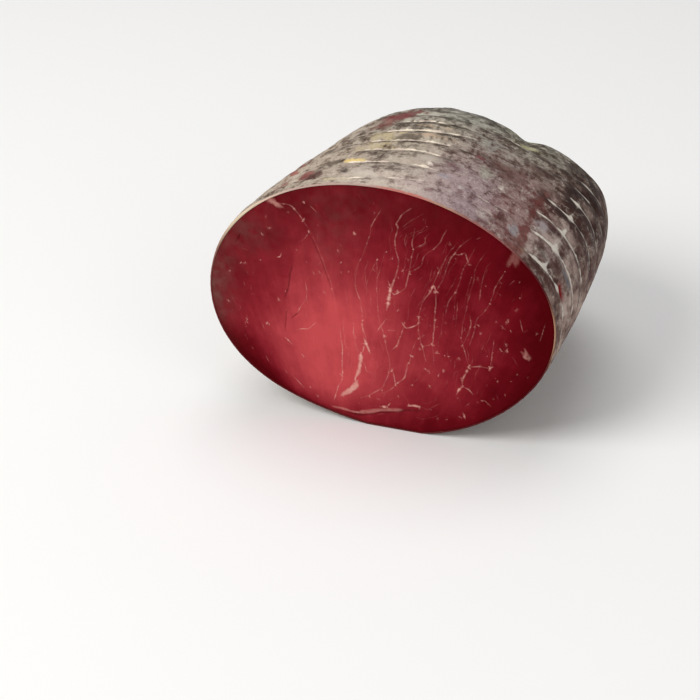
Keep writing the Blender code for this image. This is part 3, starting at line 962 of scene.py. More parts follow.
# Where each ring shows as a pale crease: ring, the angles it starts and ends at, how pale it is, and its
# half width in millimetres. The rest of each ring is left to chance.
RING_LINES = (
    (0, 99, 113, 0.7, 0.65), (0, 76, 90, 0.7, 0.55), (0, 67, 76, 0.35, 0.45), (0, 13, 31, 1.0, 0.66),
    (0, -14, 8.5, 0.85, 0.62), (1, 95, 113, 1.0, 0.7), (1, 86, 95, 0.3, 0.5), (1, 78, 91, 0.75, 0.6),
    (1, 70, 78, 0.4, 0.5), (1, 42, 57, 0.6, 0.45), (1, 20, 33, 1.0, 0.6), (1, -14, 21, 0.9, 0.64),
    (2, 77, 111, 0.9, 0.76), (2, 69, 77, 0.5, 0.5), (2, 45, 51, 0.55, 0.5), (2, 24, 35, 0.8, 0.52),
    (2, -14, 25, 0.75, 0.6), (3, 98, 120, 0.65, 0.8), (3, 77, 100, 0.95, 0.85), (3, 68, 77, 0.35, 0.6),
    (3, 22, 34, 0.9, 0.6), (3, -14, 22, 0.6, 0.6), (4, 84, 110, 1.0, 0.92), (4, 69, 85, 0.7, 0.7),
    (4, 21.5, 28, 0.95, 0.7), (4, -14, 22, 0.5, 0.55), (5, 84, 108, 0.75, 0.85), (5, 22, 28, 1.0, 0.8),
    (5, -14, 22, 0.45, 0.55), (6, 95, 106, 0.4, 0.9), (6, 52, 60, 0.65, 0.8), (6, 21, 28, 0.75, 0.7),
    (6, 0, 21, 0.42, 0.6), (7, 44, 56, 0.55, 1.0), (7, 0, 30, 0.38, 0.65), (8, 60, 80, 0.35, 0.8),
    (8, 0, 40, 0.38, 0.65),
)
SEEN_ARC, SEEN_RINGS = (-14, 122), 8.6
END_INSET, END_FADE = 1.5, 3.5
PLAIN_CREASE = 0.0007

# Where a crease frays into a star of pale skin: angle, ring, and its size in millimetres.
STARS = (
    (22.7, 0, 3.0), (23, 1, 3.4), (23.4, 2, 2.6), (24.2, 3, 2.8), (24.9, 4, 2.2), (80, 1, 1.8),
    (101, 4, 2.0), (171, 1, 2.6), (171, 3, 2.2), (222, 2, 2.8), (281, 1, 2.4), (330, 2, 2.8), (330, 4, 2.4),
    (281, 5, 2.6), (171, 6, 2.4),
)
STAR_HEART, STAR_ARMS, ARM_WIDTH = 0.12, 0.95, 0.28

# Lengthwise lines that tie the rings: the angles a line starts and ends at, its first and last ring, and
# how pale it is.
TIES = (
    (22.6, 25.0, 0, 4.4, 0.62), (80, 83, 0.6, 2, 0.5), (171, 168, 1, 6, 0.55), (222, 225, 2, 6, 0.5),
    (281, 284, 1, 5, 0.55), (330, 326, 2, 5, 0.55), (128, 126, 5, 8, 0.4), (66, 63, 7, 10, 0.4),
)
TIE_HALF_WIDTH_MM, TIE_SWAY_MM = 0.9, 0.6

# The gathered end: three sets of pleats that fall in and out of step, round a dimple where it was tied.
WIDE_PLEATS, WIDE_PLEAT_HEIGHT = 9, 0.0006
FINE_PLEATS, FINE_PLEAT_HEIGHT, FINE_PLEAT_TURN = 14, 0.0005, 1.0
TIGHT_PLEATS, TIGHT_PLEAT_HEIGHT, TIGHT_PLEAT_TURN, TIGHT_PLEAT_TWIST = 23, 0.0005, 2.0, 3
TIE_DIMPLE_DEPTH = 0.0030
TIE_DIMPLE_SPREAD = 0.16

# Each ring wanders a little from the flat turn that the net would lie in, in its own way.
ring_phases = draw.uniform(0, 2 * np.pi, (LAST_RING + 2, len(WANDERS)))


def ring_wander(angle, ring):
    """How far behind its even place a ring runs at this angle. The ring may be between two whole ones."""
    lower = np.clip(np.floor(ring).astype(int), 0, LAST_RING)
    share = np.clip(ring - lower, 0, 1)
    wander = np.zeros_like(angle)
    for step, weight in ((0, 1 - share), (1, share)):
        for (turns, height), phase in zip(WANDERS, ring_phases[lower + step].T):
            wander += weight * height * np.sin(turns * angle + phase)
    wander *= 1 - 0.8 * hill_round(angle, BROW_ANGLE, BROW_SPREAD)
    for _, middle, spread, bent, shift in RING_BENDS:
        wander += shift / 1000 * hill(ring - bent, BEND_RINGS) * hill_round(angle, middle, spread)
    start = np.clip(1 + ring * RING_PITCH / FIRST_RING, 0, 1)
    return wander * start * np.clip((LAST_RING - ring) / 3, 0, 1)


column_angle = np.linspace(-np.pi / 2, 3 * np.pi / 2, COLUMNS, endpoint=False)
row_rings = [(distance - FIRST_RING) / RING_PITCH for distance in FRONT_ROWS]
last_row = (WHOLE_SKIN - POLE_GAP - FIRST_RING) / RING_PITCH
for ring in range(LAST_RING + 1):
    row_rings += [ring + share for share in ROW_SHARES if ring + share < last_row]
ring_at, angle_at = [part.ravel() for part in np.meshgrid(row_rings, column_angle, indexing="ij")]
distance_at = FIRST_RING + ring_at * RING_PITCH + ring_wander(angle_at, ring_at)
degrees_at = (np.degrees(angle_at) + 90) % 360 - 90
round_body = np.column_stack([np.cos(angle_at), np.sin(angle_at)])

smooth = body_place(angle_at, distance_at)
back = body_place(angle_at, np.maximum(distance_at - FACING_STEP, 0))
ahead = body_place(angle_at, np.minimum(distance_at + FACING_STEP, WHOLE_SKIN))
sideways = body_place(angle_at + FACING_TURN, distance_at) - body_place(angle_at - FACING_TURN, distance_at)
facing = np.cross(ahead - back, sideways)
facing /= np.maximum(np.linalg.norm(facing, axis=1), 1e-12)[:, None]

nearest_ring = np.round(ring_at)
past_ring = (ring_at - nearest_ring) * RING_PITCH
past_ring[nearest_ring < 0] = -RING_PITCH / 2
on_ring = np.column_stack([round_body * 3.2, nearest_ring * 7.3])


def mm_round(degrees):
    """How far round the cut's rim each point is from an angle in degrees, in millimetres."""
    return turn_from(angle_at, degrees) * cut_radius(angle_at) * 1000


def within(values, first, last, before, after):
    """1 from the first value to the last, fading out over these lengths before and after."""
    return smooth_step(values, first - before, first) * (1 - smooth_step(values, last, last + after))


# How pale and how wide the crease of the nearest ring is at each point.
paleness = np.zeros(len(angle_at))
half_width = np.full(len(angle_at), PLAIN_CREASE)
for ring, first, last, strength, width in RING_LINES:
    here = within(degrees_at, first + END_INSET, last - END_INSET, END_FADE, END_FADE)
    here *= strength * (nearest_ring == ring)
    half_width = np.where(here > paleness, width / 1000, half_width)
    paleness = np.maximum(paleness, here)
unseen = smooth_step(degrees_at, SEEN_ARC[1] - 4, SEEN_ARC[1] + 8)
unseen += 1 - smooth_step(degrees_at, SEEN_ARC[0] - 10, SEEN_ARC[0])
unseen = np.maximum(unseen, nearest_ring > SEEN_RINGS)
paleness = np.maximum(paleness, unseen * np.clip(0.55 + 1.3 * wave(on_ring, 0.8, 51), 0, 0.9))
paleness *= np.clip((LAST_RING - 0.5 - ring_at) / 2, 0, 1) * (nearest_ring >= 0)
ragged = 1 + 0.8 * wave(on_ring, 0.22, 52) + 0.7 * wave(on_ring, 0.07, 53)
crease = paleness * ridge(past_ring, half_width * np.clip(ragged, 0.35, 1.6)) * np.clip(ragged, 0.2, 1.2)
pressed = 0.35 + 0.65 * paleness

star = np.zeros(len(angle_at))
for middle, ring, size in STARS:
    across_star = mm_round(middle) / size
    along_star = (ring_at - ring) * RING_PITCH * 1000 / size
    arms = np.abs(across_star * along_star) * 2.4
    spread = np.hypot(across_star, (along_star - 0.15) * 1.1)
    star = np.maximum(star, ridge(spread, 1) * (STAR_HEART + STAR_ARMS * ridge(arms, ARM_WIDTH)))
tie = np.zeros(len(angle_at))
tie_sway = TIE_SWAY_MM * wave(on_ring, 0.5, 61)
for first, last, start, stop, strength in TIES:
    middle = first + (last - first) * np.clip((ring_at - start) / (stop - start), 0, 1)
    by_ring = 0.6 + 0.4 * np.cos(np.pi * ring_at) ** 2
    here = within(ring_at, start, stop, 0.15, 0.15) * ridge(mm_round(middle) + tie_sway, TIE_HALF_WIDTH_MM)
    tie = np.maximum(tie, strength * by_ring * here)

lift = BAND_FULLNESS * np.sin(np.pi * np.abs(past_ring) / RING_PITCH) * pressed
lift -= VALLEY_DEPTH * ridge(past_ring, VALLEY_HALF_WIDTH) * pressed
lift += CREASE_HEIGHT * crease + STAR_HEIGHT * star + TIE_HEIGHT * tie
along_skin = np.column_stack([round_body * 5.0, distance_at / WRINKLE_LENGTH])
along_folds = np.column_stack([round_body * 3.2, distance_at / FOLD_LENGTH])
lift += WRINKLE_HEIGHT * wave(along_skin, 1, 54) + FOLD_HEIGHT * wave(along_folds, 1, 55)
lift += LUMP_HEIGHT * wave(smooth, LUMP_SIZE, 57)
lift *= CALM_SHARE + (1 - CALM_SHARE) * smooth_step(distance_at, 0, CALM_FRONT)
lift += CRUST_HEIGHT * rough(smooth, CRUST_SIZE, 56, 3)

# Small forms of the muscle: angle and its spread in degrees, distance behind the cut and its reach, height.
SMALL_FORMS = (
    ("crest's notch", 51, 4.5, 0.106, 0.020, -0.0020),
    ("crest's lip", 42, 5, 0.100, 0.018, 0.0006),
    ("left cheek", 153, 9, 0.007, 0.010, 0.0008),
    ("valley", 35, 3.2, 0.024, 0.020, -0.0006),
)
for _, middle, spread, distance, reach, rise in SMALL_FORMS:
    lift += rise * hill_round(angle_at, middle, spread) * hill(distance_at - distance, reach)

# A torn slit near the cut, with a raised lip.
SLIT_ANGLE, SLIT_DISTANCE, SLIT_SLANT = 11.6, 0.0113, 0.15
SLIT_HALF_LENGTH, SLIT_HALF_WIDTH = 0.0054, 0.0015
SLIT_DEPTH, SLIT_LIP_HEIGHT = 0.0009, 0.0003
slit_along = turn_from(angle_at, SLIT_ANGLE) * cut_radius(angle_at)
slit_across = (distance_at - SLIT_DISTANCE - SLIT_SLANT * slit_along) / SLIT_HALF_WIDTH
slit = smooth_step(1 - np.hypot(slit_along / SLIT_HALF_LENGTH, slit_across / 1.3), 0, 0.6)
slit_lip = ridge(np.hypot(slit_along / SLIT_HALF_LENGTH, slit_across / 1.6) - 1.1, 0.35)
lift += SLIT_LIP_HEIGHT * slit_lip - SLIT_DEPTH * slit

share_back = np.interp(distance_at, profile_skin, profile_along) / BODY_LENGTH
end = np.interp(distance_at, profile_skin, profile_end)
pleats = WIDE_PLEAT_HEIGHT * np.cos(WIDE_PLEATS * angle_at)
pleats += FINE_PLEAT_HEIGHT * np.cos(FINE_PLEATS * angle_at + FINE_PLEAT_TURN)
twist = TIGHT_PLEAT_TURN + TIGHT_PLEAT_TWIST * end
pleats += TIGHT_PLEAT_HEIGHT * np.cos(TIGHT_PLEATS * angle_at + twist) * smooth_step(end, 0.05, 0.3)
gathers = pleats * np.sin(np.pi * end) ** 2 - TIE_DIMPLE_DEPTH * ridge(end, TIE_DIMPLE_SPREAD)
skin_points = smooth + facing * lift[:, None]
skin_points[:, 1] += gathers * share_back**4
skin_points[:, 2] = np.maximum(skin_points[:, 2], 0)

# The outside with its closed end, then the cut edge of the skin, then its inner wall, which the meat fills.
points, faces = [skin_points + body_shift], []
outer = np.arange(len(skin_points)).reshape(-1, COLUMNS).tolist()
close_back(points, faces, outer)
edge = [outer[0]]
edge_wave = wave(np.column_stack([np.cos(column_angle), np.sin(column_angle), column_angle * 0]), 0.12, 58)
for inset, proud in EDGE_ROWS:
    row = body_place(column_angle, np.zeros(COLUMNS), inset) + body_shift
    row[:, 1] -= proud * (1 + 0.8 * edge_wave)
    edge.append(add_row(points, row))
for near, far in zip(edge, edge[1:]):
    faces += band(far, near)
inner_angle = column_angle[::STEP_DOWN]
inner = []
for distance in INNER_ROWS + BACK_ROWS[1:]:
    row = body_place(inner_angle, np.full(len(inner_angle), distance), depth_under_skin(distance))
    inner.append(add_row(points, row + body_shift))
faces += band_to_fewer(edge[-1], inner[0])
close_back(points, faces, inner)

# Where the mould is thick and what shows through it: angle and its spread in degrees, distance and its
# spread in millimetres, how much of the skin is covered and how crumbly, the mould's colour, the bare skin's.
SKIN_ZONES = (
    ("shoulder", 118, 22, 28, 40, 0.62, 1.1, (178, 162, 146), (94, 76, 64)),
    ("back top", 92, 20, 85, 24, 0.38, 0.5, (172, 169, 158), (66, 63, 54)),
    ("crown", 92, 12, 28, 22, 0.68, 0.74, (166, 154, 140), (104, 91, 79)),
    ("crown's rim", 93, 13, 9, 8, 0.98, 0.7, (226, 211, 199), (168, 146, 136)),
    ("crown's middle", 84, 9, 55, 10, 0.52, 0.85, (168, 155, 136), (74, 64, 52)),
    ("mauve brow", 65, 10, 16, 16, 0.76, 1.0, (158, 135, 139), (112, 82, 84)),
    ("brow's back", 60, 11, 50, 16, 0.5, 1.25, (147, 130, 124), (102, 73, 67)),
    ("valley", 40, 6, 28, 18, 0.5, 0.9, (146, 118, 115), (112, 66, 63)),
    ("flank's top", 24, 8, 52, 24, 0.25, 0.45, (140, 115, 108), (66, 43, 38)),
    ("flank's front", 24, 6, 20, 12, 0.5, 0.6, (190, 174, 166), (88, 60, 56)),
    ("right shoulder", 13, 6, 9, 6, 0.36, 0.7, (124, 94, 87), (70, 38, 36)),
    ("flank", 2, 12, 28, 26, 0.38, 0.1, (182, 160, 149), (104, 73, 68)),
    ("flank's far top", 21, 9, 69, 14, 0.26, 0.55, (98, 81, 75), (42, 25, 21)),
    ("flank's back", 6, 14, 82, 20, 0.5, 0.45, (137, 120, 112), (88, 60, 55)),
    ("far crest", 48, 14, 92, 22, 0.42, 1.0, (158, 155, 141), (84, 75, 63)),
    ("left flank", 172, 26, 60, 60, 0.58, 0.9, (176, 164, 149), (104, 83, 72)),
    ("belly", 270, 45, 60, 80, 0.42, 0.9, (160, 146, 132), (98, 74, 65)),
    ("right foot", 330, 20, 50, 60, 0.48, 0.8, (168, 152, 142), (94, 70, 64)),
)
END_ZONE = (0.56, 0.90, (160, 152, 138), (92, 76, 66))
END_START, END_WHOLE = 0.118, 0.150


def traits(cover, crumbly, mould_colour, skin_colour):
    """What a zone of the skin is like, as one row of numbers."""
    return [cover, crumbly, *light_values(mould_colour), *light_values(skin_colour)]


weights = []
for _, middle, spread, distance, reach, *_ in SKIN_ZONES:
    apart = (turn_from(angle_at, middle) / np.radians(spread)) ** 2
    apart += ((distance_at * 1000 - distance) / reach) ** 2
    weights.append(np.exp(-0.5 * apart) + 1e-9 / (1 + apart))
weights = np.array(weights)
weights /= weights.sum(axis=0)
at_end = smooth_step(distance_at, END_START, END_WHOLE)[:, None]
mixed = weights.T @ np.array([traits(*zone[5:]) for zone in SKIN_ZONES]) * (1 - at_end)
mixed += np.array(traits(*END_ZONE)) * at_end
cover, crumbly, mould_colour, skin_colour = mixed[:, 0], mixed[:, 1], mixed[:, 2:5], mixed[:, 5:]

# Places where the mould is off, or tinted, and hollows and grooves whose shade is painted as dark skin:
# angle, millimetres behind the cut, half sizes in millimetres round the body and along it, how bare, and the
# colour that shows.
BARE_AND_SHADED_SPOTS = (
    ("shoulder's bare patch", 112.5, 80, 10, 11, 1.0, (122, 50, 51)),
    ("patch's side", 120, 74, 6, 7, 0.55, (150, 96, 90)),
    ("patch's foot", 116.5, 65, 8, 6, 0.75, (144, 86, 78)),
    ("red streak", 138, 28, 4, 14, 0.9, (156, 86, 80)),
    ("red by the rim", 127, 12, 6, 4.5, 0.8, (152, 82, 80)),
    ("red streak's start", 135, 9, 2.4, 6, 0.7, (140, 78, 74)),
    ("dark patch by the rim", 121, 9.5, 5, 3, 1.0, (84, 48, 44)),
    ("black spot", 109, 11, 1.8, 1.2, 0.9, (62, 56, 52)),
    ("rim's black spot", 98, 2, 1.5, 0.7, 0.8, (64, 54, 50)),
    ("left black spot", 147, 24, 3, 3, 0.8, (64, 56, 50)),
    ("left dark fleck", 128, 7, 1.6, 1.2, 0.8, (76, 58, 54)),
    ("olive patch", 120, 23, 5.5, 3, 0.65, (86, 78, 64)),
    ("upper olive patch", 127, 38, 6, 4, 0.6, (88, 80, 66)),
    ("dark olive", 73, 32, 3, 2, 0.65, (84, 80, 68)),
    # These hollows and grooves are painted shade: dark spots where the valleys by the creases fall in shadow.
    ("crown's hollow", 96, 46.5, 11, 3.2, 0.65, (94, 86, 72)),
    ("crown's upper hollow", 88, 64, 12, 2.0, 0.5, (92, 86, 70)),
    ("back's hollow", 87, 76, 9, 4, 0.55, (84, 84, 72)),
    ("dark groove", 78, 67, 13, 1.2, 0.9, (70, 62, 48)),
    ("short groove", 69, 43, 6, 1.1, 0.85, (74, 60, 46)),
    ("red spot", 62, 43, 3.4, 1.8, 0.95, (134, 70, 74)),
    ("plum spot", 69.5, 28, 4, 2.5, 0.6, (116, 82, 88)),
    ("small plum spot", 62, 13.5, 1.6, 1.4, 0.55, (120, 82, 90)),
    ("crown's red spot", 94, 11.5, 1.2, 1.6, 0.7, (128, 72, 84)),
    ("low dark cloud", -6, 22, 8, 9, 0.45, (92, 66, 62)),
    ("low plum spot", 71, 7, 2.6, 1.6, 0.65, (112, 66, 74)),
    ("plum by the rim", 57, 5, 1.6, 1.2, 0.5, (120, 84, 92)),
    ("brow's bare flat", 50, 43, 9, 8, 0.6, (118, 84, 78)),
    ("dark by the brow", 43.5, 11, 3.4, 2.6, 0.7, (88, 60, 58)),
    ("dark crumbs", 46, 16, 2.5, 1.4, 0.65, (80, 58, 56)),
    ("dark fleck", 48, 9, 1.6, 1.3, 0.6, (92, 70, 66)),
    ("dark plum cloud", 28.6, 28.6, 3.6, 2.9, 0.85, (80, 52, 52)),
    ("dark cloud by the first ring", 26.8, 14, 4.2, 2.5, 0.85, (82, 54, 52)),
    # These two hollows are painted shade as well.
    ("dark hollow past the brow", 41, 58, 6, 6, 0.7, (80, 57, 52)),
    ("dark hollow by the fourth ring", 34, 46, 5, 4.5, 0.8, (70, 50, 46)),
    ("dark far flank", 22, 72, 8, 13, 0.7, (44, 28, 23)),
    ("brown cloud", 28, 41, 4, 3, 0.85, (66, 44, 40)),
    ("brown cloud by the slit", 19, 13.8, 4.4, 2.2, 0.7, (88, 60, 55)),
    ("brown-black crest", 28, 60, 4, 9, 0.75, (52, 39, 35)),
    ("dark crest fleck", 39, 62, 5, 2, 0.55, (68, 54, 50)),
    ("black crest", 29, 88, 5, 9, 0.5, (50, 43, 37)),
    ("valley strip's top", 35, 40, 1.6, 8, 0.8, (112, 66, 60)),
    ("valley strip", 35.3, 27, 2.0, 10, 1.0, (112, 58, 54)),
    ("valley strip's foot", 34.6, 14, 2.5, 7, 1.0, (112, 54, 51)),
    ("valley's mouth", 33.5, 6, 2.8, 5, 0.85, (120, 74, 68)),
    ("valley's lip", 36, 1.5, 5, 2.0, 0.8, (128, 74, 68)),
    ("tan spot", 31.5, 5, 1.5, 1.8, 0.9, (134, 106, 88)),
)
TINTS = (
    ("yellow by the rim", 111, 5, 6, 1.6, 0.7, (212, 200, 150)),
    ("yellow ring", 112, 22.3, 6, 1.5, 0.95, (236, 206, 132)),
    ("yellow shoulder", 106, 36, 12, 4.4, 0.42, (190, 172, 118)),
    ("yellow far shoulder", 110, 49, 10, 4.4, 0.46, (192, 174, 120)),
    ("orange on the fourth ring", 88, 48.5, 11, 1.8, 0.42, (204, 166, 136)),
    ("orange on the fifth ring", 90, 60, 10, 1.5, 0.42, (200, 160, 126)),
    ("pale field by the rim", 101, 11, 8, 4, 0.35, (200, 190, 178)),
    ("white cloud", 80, 28, 5, 3, 0.6, (192, 182, 168)),
    ("pale third band", 84, 37, 11, 2.6, 0.2, (186, 174, 158)),
    ("pale second band", 92, 26, 12, 2.8, 0.35, (186, 174, 160)),
    ("low flank's pale cloud", 8, 12, 6, 5, 0.6, (190, 174, 164)),
    ("white knot", 79, 24, 1.4, 1.4, 0.95, (236, 222, 208)),
    ("pale cluster", 57, 34, 3.2, 4, 0.65, (164, 162, 146)),
    ("pale knot", 56, 28, 1.3, 1.0, 0.8, (206, 194, 188)),
    ("white fleck", 49, 30, 1.6, 1.6, 0.9, (204, 192, 180)),
    ("pale brow by the rim", 49, 8, 5, 3.5, 0.7, (182, 166, 160)),
    ("pale cloud on the flank", 24.6, 25.5, 3, 2.6, 0.6, (196, 184, 172)),
    ("upper pale cloud on the flank", 25, 38, 3.2, 3, 0.7, (178, 160, 150)),
    ("small white fleck", 62, 16, 0.8, 1.2, 0.7, (200, 190, 186)),
    ("blue bloom", 69, 19, 4, 3, 0.5, (156, 152, 166)),
    ("grey-blue by the valley", 38, 10, 2.4, 3, 0.7, (146, 144, 148)),
    ("grey-blue past the valley", 30.5, 25, 3.4, 4, 0.6, (142, 134, 136)),
    ("pink field by the rim", 80, 8, 10, 4, 0.5, (196, 172, 168)),
    ("blue strip by the slit", 13.4, 17.4, 6, 1.8, 1.0, (112, 114, 120)),
    ("grey flecks", 31, 25, 3, 2.2, 0.7, (158, 148, 150)),
    ("low grey flecks", 24.5, 12.5, 3, 1.6, 0.6, (166, 158, 150)),
    ("crest's yellow", 50, 81, 7, 3, 0.65, (172, 166, 116)),
    ("far crest's yellow", 52, 104, 8, 8, 0.5, (166, 160, 108)),
    ("crest's grey", 34, 79, 5, 6, 0.5, (116, 114, 106)),
    ("pale crown flake", 105, 82, 6, 4, 0.6, (182, 180, 164)),
    ("pale flake", 106, 67, 4, 3, 0.6, (188, 184, 166)),
    ("grey back flake", 78, 80, 6, 6, 0.5, (138, 138, 126)),
    ("mid grey flake", 64, 60, 8, 8, 0.85, (150, 146, 137)),
    ("blue-grey fleck", 137, 31, 2, 3, 0.6, (140, 146, 142)),
)


SPOT_REACH, SPOT_SOFTNESS, SPOT_RAGGEDNESS, RAG_SIZE = 1.25, 0.95, 0.8, 0.0040
BARE_SEED, TINT_SEED, TINT_COVER = 60, 90, 0.36


def cover_spot(spot, seed, colours):
    """Colours a drawn spot with a ragged edge, and gives how much of it is at each point of the skin."""
    _, middle, distance, half_around, half_along, strength, colour = spot
    apart = np.hypot(mm_round(middle) * end / half_around, (distance_at * 1000 - distance) / half_along)
    apart -= SPOT_RAGGEDNESS * rough(smooth, RAG_SIZE, seed, 5)
    here = strength * smooth_step(SPOT_REACH - apart, 0, SPOT_SOFTNESS)
    colours += (light_values(colour) - colours) * here[:, None]
    return here


# bare holds the worn spots and also the painted shade of the hollows and grooves.
bare = np.zeros(len(angle_at))
for seed, spot in enumerate(BARE_AND_SHADED_SPOTS):
    bare = np.maximum(bare, cover_spot(spot, BARE_SEED + seed, skin_colour))
for seed, spot in enumerate(TINTS):
    cover += TINT_COVER * cover_spot(spot, TINT_SEED + seed, mould_colour)

# The mould clots behind each crease. In front of it, the shade of the groove is painted by thinning the
# mould and darkening the skin, most of all from the third ring to the sixth.
GROOVE_SHADE_AT, GROOVE_SHADE_HALF_WIDTH = -0.0034, 0.0024
GROOVE_SHADE_FROM, GROOVE_SHADE_TO, GROOVE_SHADE_FADES = 0.044, 0.070, (0.014, 0.015)
BEHIND, BEHIND_HALF_WIDTH = 0.0021, 0.0012
BLOTCH_SIZE, PATCH_SIZE = 0.007, 0.020
BLOTCH_COVER, PATCH_COVER, STREAK_COVER, CLOT_COVER, GROOVE_SHADE_COVER = 0.22, 0.14, 0.16, 0.12, 0.27
blotches = rough(smooth, BLOTCH_SIZE, 110, 4)
patches = rough(smooth, PATCH_SIZE, 111, 3)
streaks = wave(along_skin, 1.3, 112)
# Painted shade of the groove in front of each crease.
groove_shade = ridge(past_ring - GROOVE_SHADE_AT, GROOVE_SHADE_HALF_WIDTH) * paleness
groove_shade *= 0.25 + 1.25 * within(distance_at, GROOVE_SHADE_FROM, GROOVE_SHADE_TO, *GROOVE_SHADE_FADES)
behind_ring = ridge(past_ring - BEHIND, BEHIND_HALF_WIDTH) * paleness
cover += BLOTCH_COVER * blotches + PATCH_COVER * patches + STREAK_COVER * streaks
cover += CLOT_COVER * behind_ring - GROOVE_SHADE_COVER * groove_shade
line = np.clip(crease + 0.8 * star + 0.85 * tie, 0, 1.15) * (1 - 0.4 * bare)
# The skin is darker in front of each crease: painted shade of the groove.
skin_colour *= (1 + 0.26 * blotches + 0.14 * streaks - 0.16 * groove_shade)[:, None]
mould_colour *= (1 + 0.12 * patches + 0.10 * streaks)[:, None]

# The edge is pale and dried on the left, over the crown and on the right, and raw coral past the crown.
# Elsewhere the meat stains it so dark that it hardly shows. After its angle and spread come its colour, and
# how far it reaches over the skin in millimetres.
EDGE_COLOURS = (
    ("left cheek", 150, 8, (222, 206, 178), 1.6),
    ("cheek's foot", 170, 10, (132, 82, 74), 0.4),
    ("notch", 137, 5, (212, 182, 166), 0.6),
    ("shoulder", 119, 9, (186, 158, 148), 0.7),
    ("crown", 100, 6, (180, 154, 144), 0.6),
    ("coral", 80, 7, (188, 116, 106), 1.0),
    ("brow", 62, 4, (176, 138, 116), 0.5),
    ("brow's end", 52, 5, (148, 94, 88), 0.7),
    ("valley's mouth", 36, 4, (146, 92, 88), 0.6),
    ("right shoulder", 21, 8, (84, 24, 27), 0.3),
    ("right", 2, 5, (190, 150, 120), 0.5),
    ("below right", -16, 9, (84, 17, 23), 0.3),
    ("foot", -45, 16, (90, 28, 30), 0.4),
    ("below", -90, 20, (98, 38, 35), 0.4),
    ("below left", -135, 20, (96, 22, 24), 0.3),
    ("left below", -170, 10, (118, 38, 42), 0.3),
)
EDGE_RAG, EDGE_RAG_SIZE, EDGE_FULL_SHARE = 0.9, 0.0016, 0.4
edge_weights = [hill_round(column_angle, place, spread) + 1e-6 for _, place, spread, *_ in EDGE_COLOURS]
edge_weights = np.array(edge_weights) / np.sum(edge_weights, axis=0)
edge_colour = edge_weights.T @ np.array([light_values(colour) for *_, colour, _ in EDGE_COLOURS])
edge_reach = edge_weights.T @ np.array([reach for *_, reach in EDGE_COLOURS]) / 1000
edge_rags = np.clip(1 + EDGE_RAG * wave(smooth, EDGE_RAG_SIZE, 59), 0.3, 1.8)
edge_reach = np.tile(edge_reach, len(row_rings)) * edge_rags
edge_share = 1 - smooth_step(distance_at, EDGE_FULL_SHARE * edge_reach, edge_reach)
edge_share = np.concatenate([edge_share, [0], np.ones(len(EDGE_ROWS) * COLUMNS)])
edge_colours = np.tile(edge_colour, (len(row_rings), 1))
edge_colours = np.vstack([edge_colours, np.zeros((1, 3)), np.tile(edge_colour, (len(EDGE_ROWS), 1))])

# The creases are warm cream over the crown and greyer down both flanks.
WARM_MIDDLE, WARM_SPREAD = 95, 30

skin = finished("skin", points, faces)
paint(skin, "cover", np.clip(cover, 0, 1), 0.4)
paint(skin, "line", line)
paint(skin, "crumbly", crumbly, 0.9)
paint(skin, "warmth", hill_round(angle_at, WARM_MIDDLE, WARM_SPREAD))
paint(skin, "slit", slit)
paint(skin, "edge", edge_share)
paint(skin, "bare", bare)
paint(skin, "mould", mould_colour)
paint(skin, "hide", skin_colour)
paint(skin, "rim", edge_colours)

LINE_COLOUR = shade_of(244, 230, 208)
LINE_SHADE = shade_of(216, 198, 184)
FLANK_LINE_COLOUR = shade_of(212, 205, 194)
STAIN_COLOUR = shade_of(46, 30, 26)
PIT_COLOUR = shade_of(48, 36, 31)
GLINT_COLOUR = shade_of(206, 198, 186)
SLIT_COLOUR = shade_of(128, 12, 16)
SKIN_GLOSS = 0.08
SKIN_RELIEF, SKIN_RELIEF_DEPTH = 0.8, 0.0004

mouldy, tree, shader = new_material("mouldy skin")
objects = add(tree, "ShaderNodeTexCoord").outputs["Object"]
squeezed = add(tree, "ShaderNodeMapping", {"Vector": objects, "Scale": (1, 3.5, 1)}).outputs[0]
stretched = add(tree, "ShaderNodeMapping", {"Vector": objects, "Scale": (1, 0.3, 1)}).outputs[0]
powder = grain(tree, objects, 1700, 4, 0.7)
crumbs = grain(tree, objects, 520, 5, 0.66)
clots = grain(tree, objects, 230, 3, 0.6)
clumps = grain(tree, objects, 90, 3, 0.6)
streak = grain(tree, squeezed, 300, 5, 0.64)
hatch = grain(tree, stretched, 620, 3, 0.6)

# How much mould is left at each point: drawn cover, stirred by every size of crumb, less what is worn bare.
crumbly = attribute(tree, "crumbly")
fine = stirred(tree, 0.0, (powder, 0.4), (crumbs, 1.4), (streak, 1.0), (hatch, 0.7))
dusty = reckon(tree, "MULTIPLY_ADD", fine, crumbly, attribute(tree, "cover"))
dusty = stirred(tree, dusty, (clots, reckon(tree, "MULTIPLY_ADD", crumbly, 1.5, 0.35)), (clumps, 1.15))
frayed = stirred(tree, attribute(tree, "bare"), (crumbs, 1.2), (clots, 0.6))
worn = product(tree, between(tree, frayed, 0.10, 0.85), 0.85)
unworn = reckon(tree, "SUBTRACT", 1.0, worn)
covered = product(tree, between(tree, dusty, 0.10, 0.90), unworn)

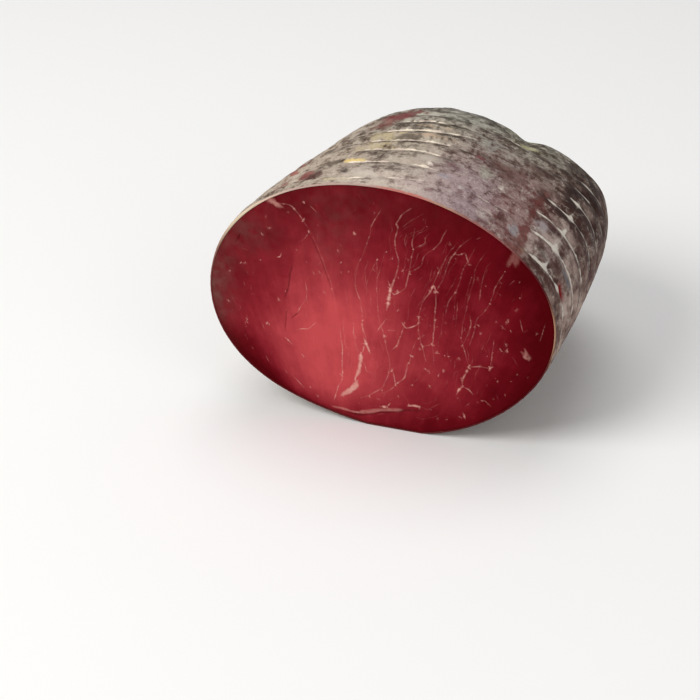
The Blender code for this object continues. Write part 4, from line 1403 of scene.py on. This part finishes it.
# The skin under it is stained in spots, and the mould has pits, glints and a web of fine cracks.
stain = grain(tree, objects, 420, 4, 0.6)
bare_skin = attribute(tree, "hide", "Color")
hide = blend(tree, between(tree, stain, 0.62, 0.30), bare_skin, STAIN_COLOUR)
hide = blend(tree, 0.45, bare_skin, hide)
colour = blend(tree, covered, hide, attribute(tree, "mould", "Color"))
pits = between(tree, grain(tree, objects, 950, 5, 0.7), 0.50, 0.30)
colour = blend(tree, product(tree, pits, 0.4, crumbly), colour, PIT_COLOUR)
glints = between(tree, grain(tree, squeezed, 700, 4, 0.7), 0.56, 0.74)
colour = blend(tree, product(tree, glints, covered, 0.45, crumbly), colour, GLINT_COLOUR)
web = reckon(tree, "ABSOLUTE", reckon(tree, "SUBTRACT", grain(tree, objects, 190, 5, 0.62), 0.5))
web = product(tree, between(tree, web, 0.022, 0.002), between(tree, clots, 0.45, 0.62), unworn, 0.5)
colour = blend(tree, web, colour, GLINT_COLOUR)

# The pale creases fray into the mould, and the edge and the slit lie over all.
fray = grain(tree, squeezed, 420, 5, 0.72)
lines = product(tree, stirred(tree, 1.0, (fray, 2.4), (clots, 1.2)), attribute(tree, "line"))
line_colour = blend(tree, between(tree, clumps, 0.42, 0.58), LINE_SHADE, LINE_COLOUR)
line_colour = blend(tree, attribute(tree, "warmth"), FLANK_LINE_COLOUR, line_colour)
colour = blend(tree, between(tree, lines, 0.20, 0.90), colour, line_colour)
colour = blend(tree, attribute(tree, "edge"), colour, attribute(tree, "rim", "Color"))
colour = blend(tree, attribute(tree, "slit"), colour, SLIT_COLOUR)
dull = reckon(tree, "MULTIPLY_ADD", covered, 0.3, 0.58)
height = reckon(tree, "MULTIPLY_ADD", powder, 0.5, reckon(tree, "MULTIPLY_ADD", streak, 0.6, crumbs))
relief = (SKIN_RELIEF, SKIN_RELIEF_DEPTH, product(tree, height, crumbly))
finish_material(skin, (mouldy, tree, shader), colour, dull, SKIN_GLOSS, relief)
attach(skin, "root")
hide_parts("bresaola")
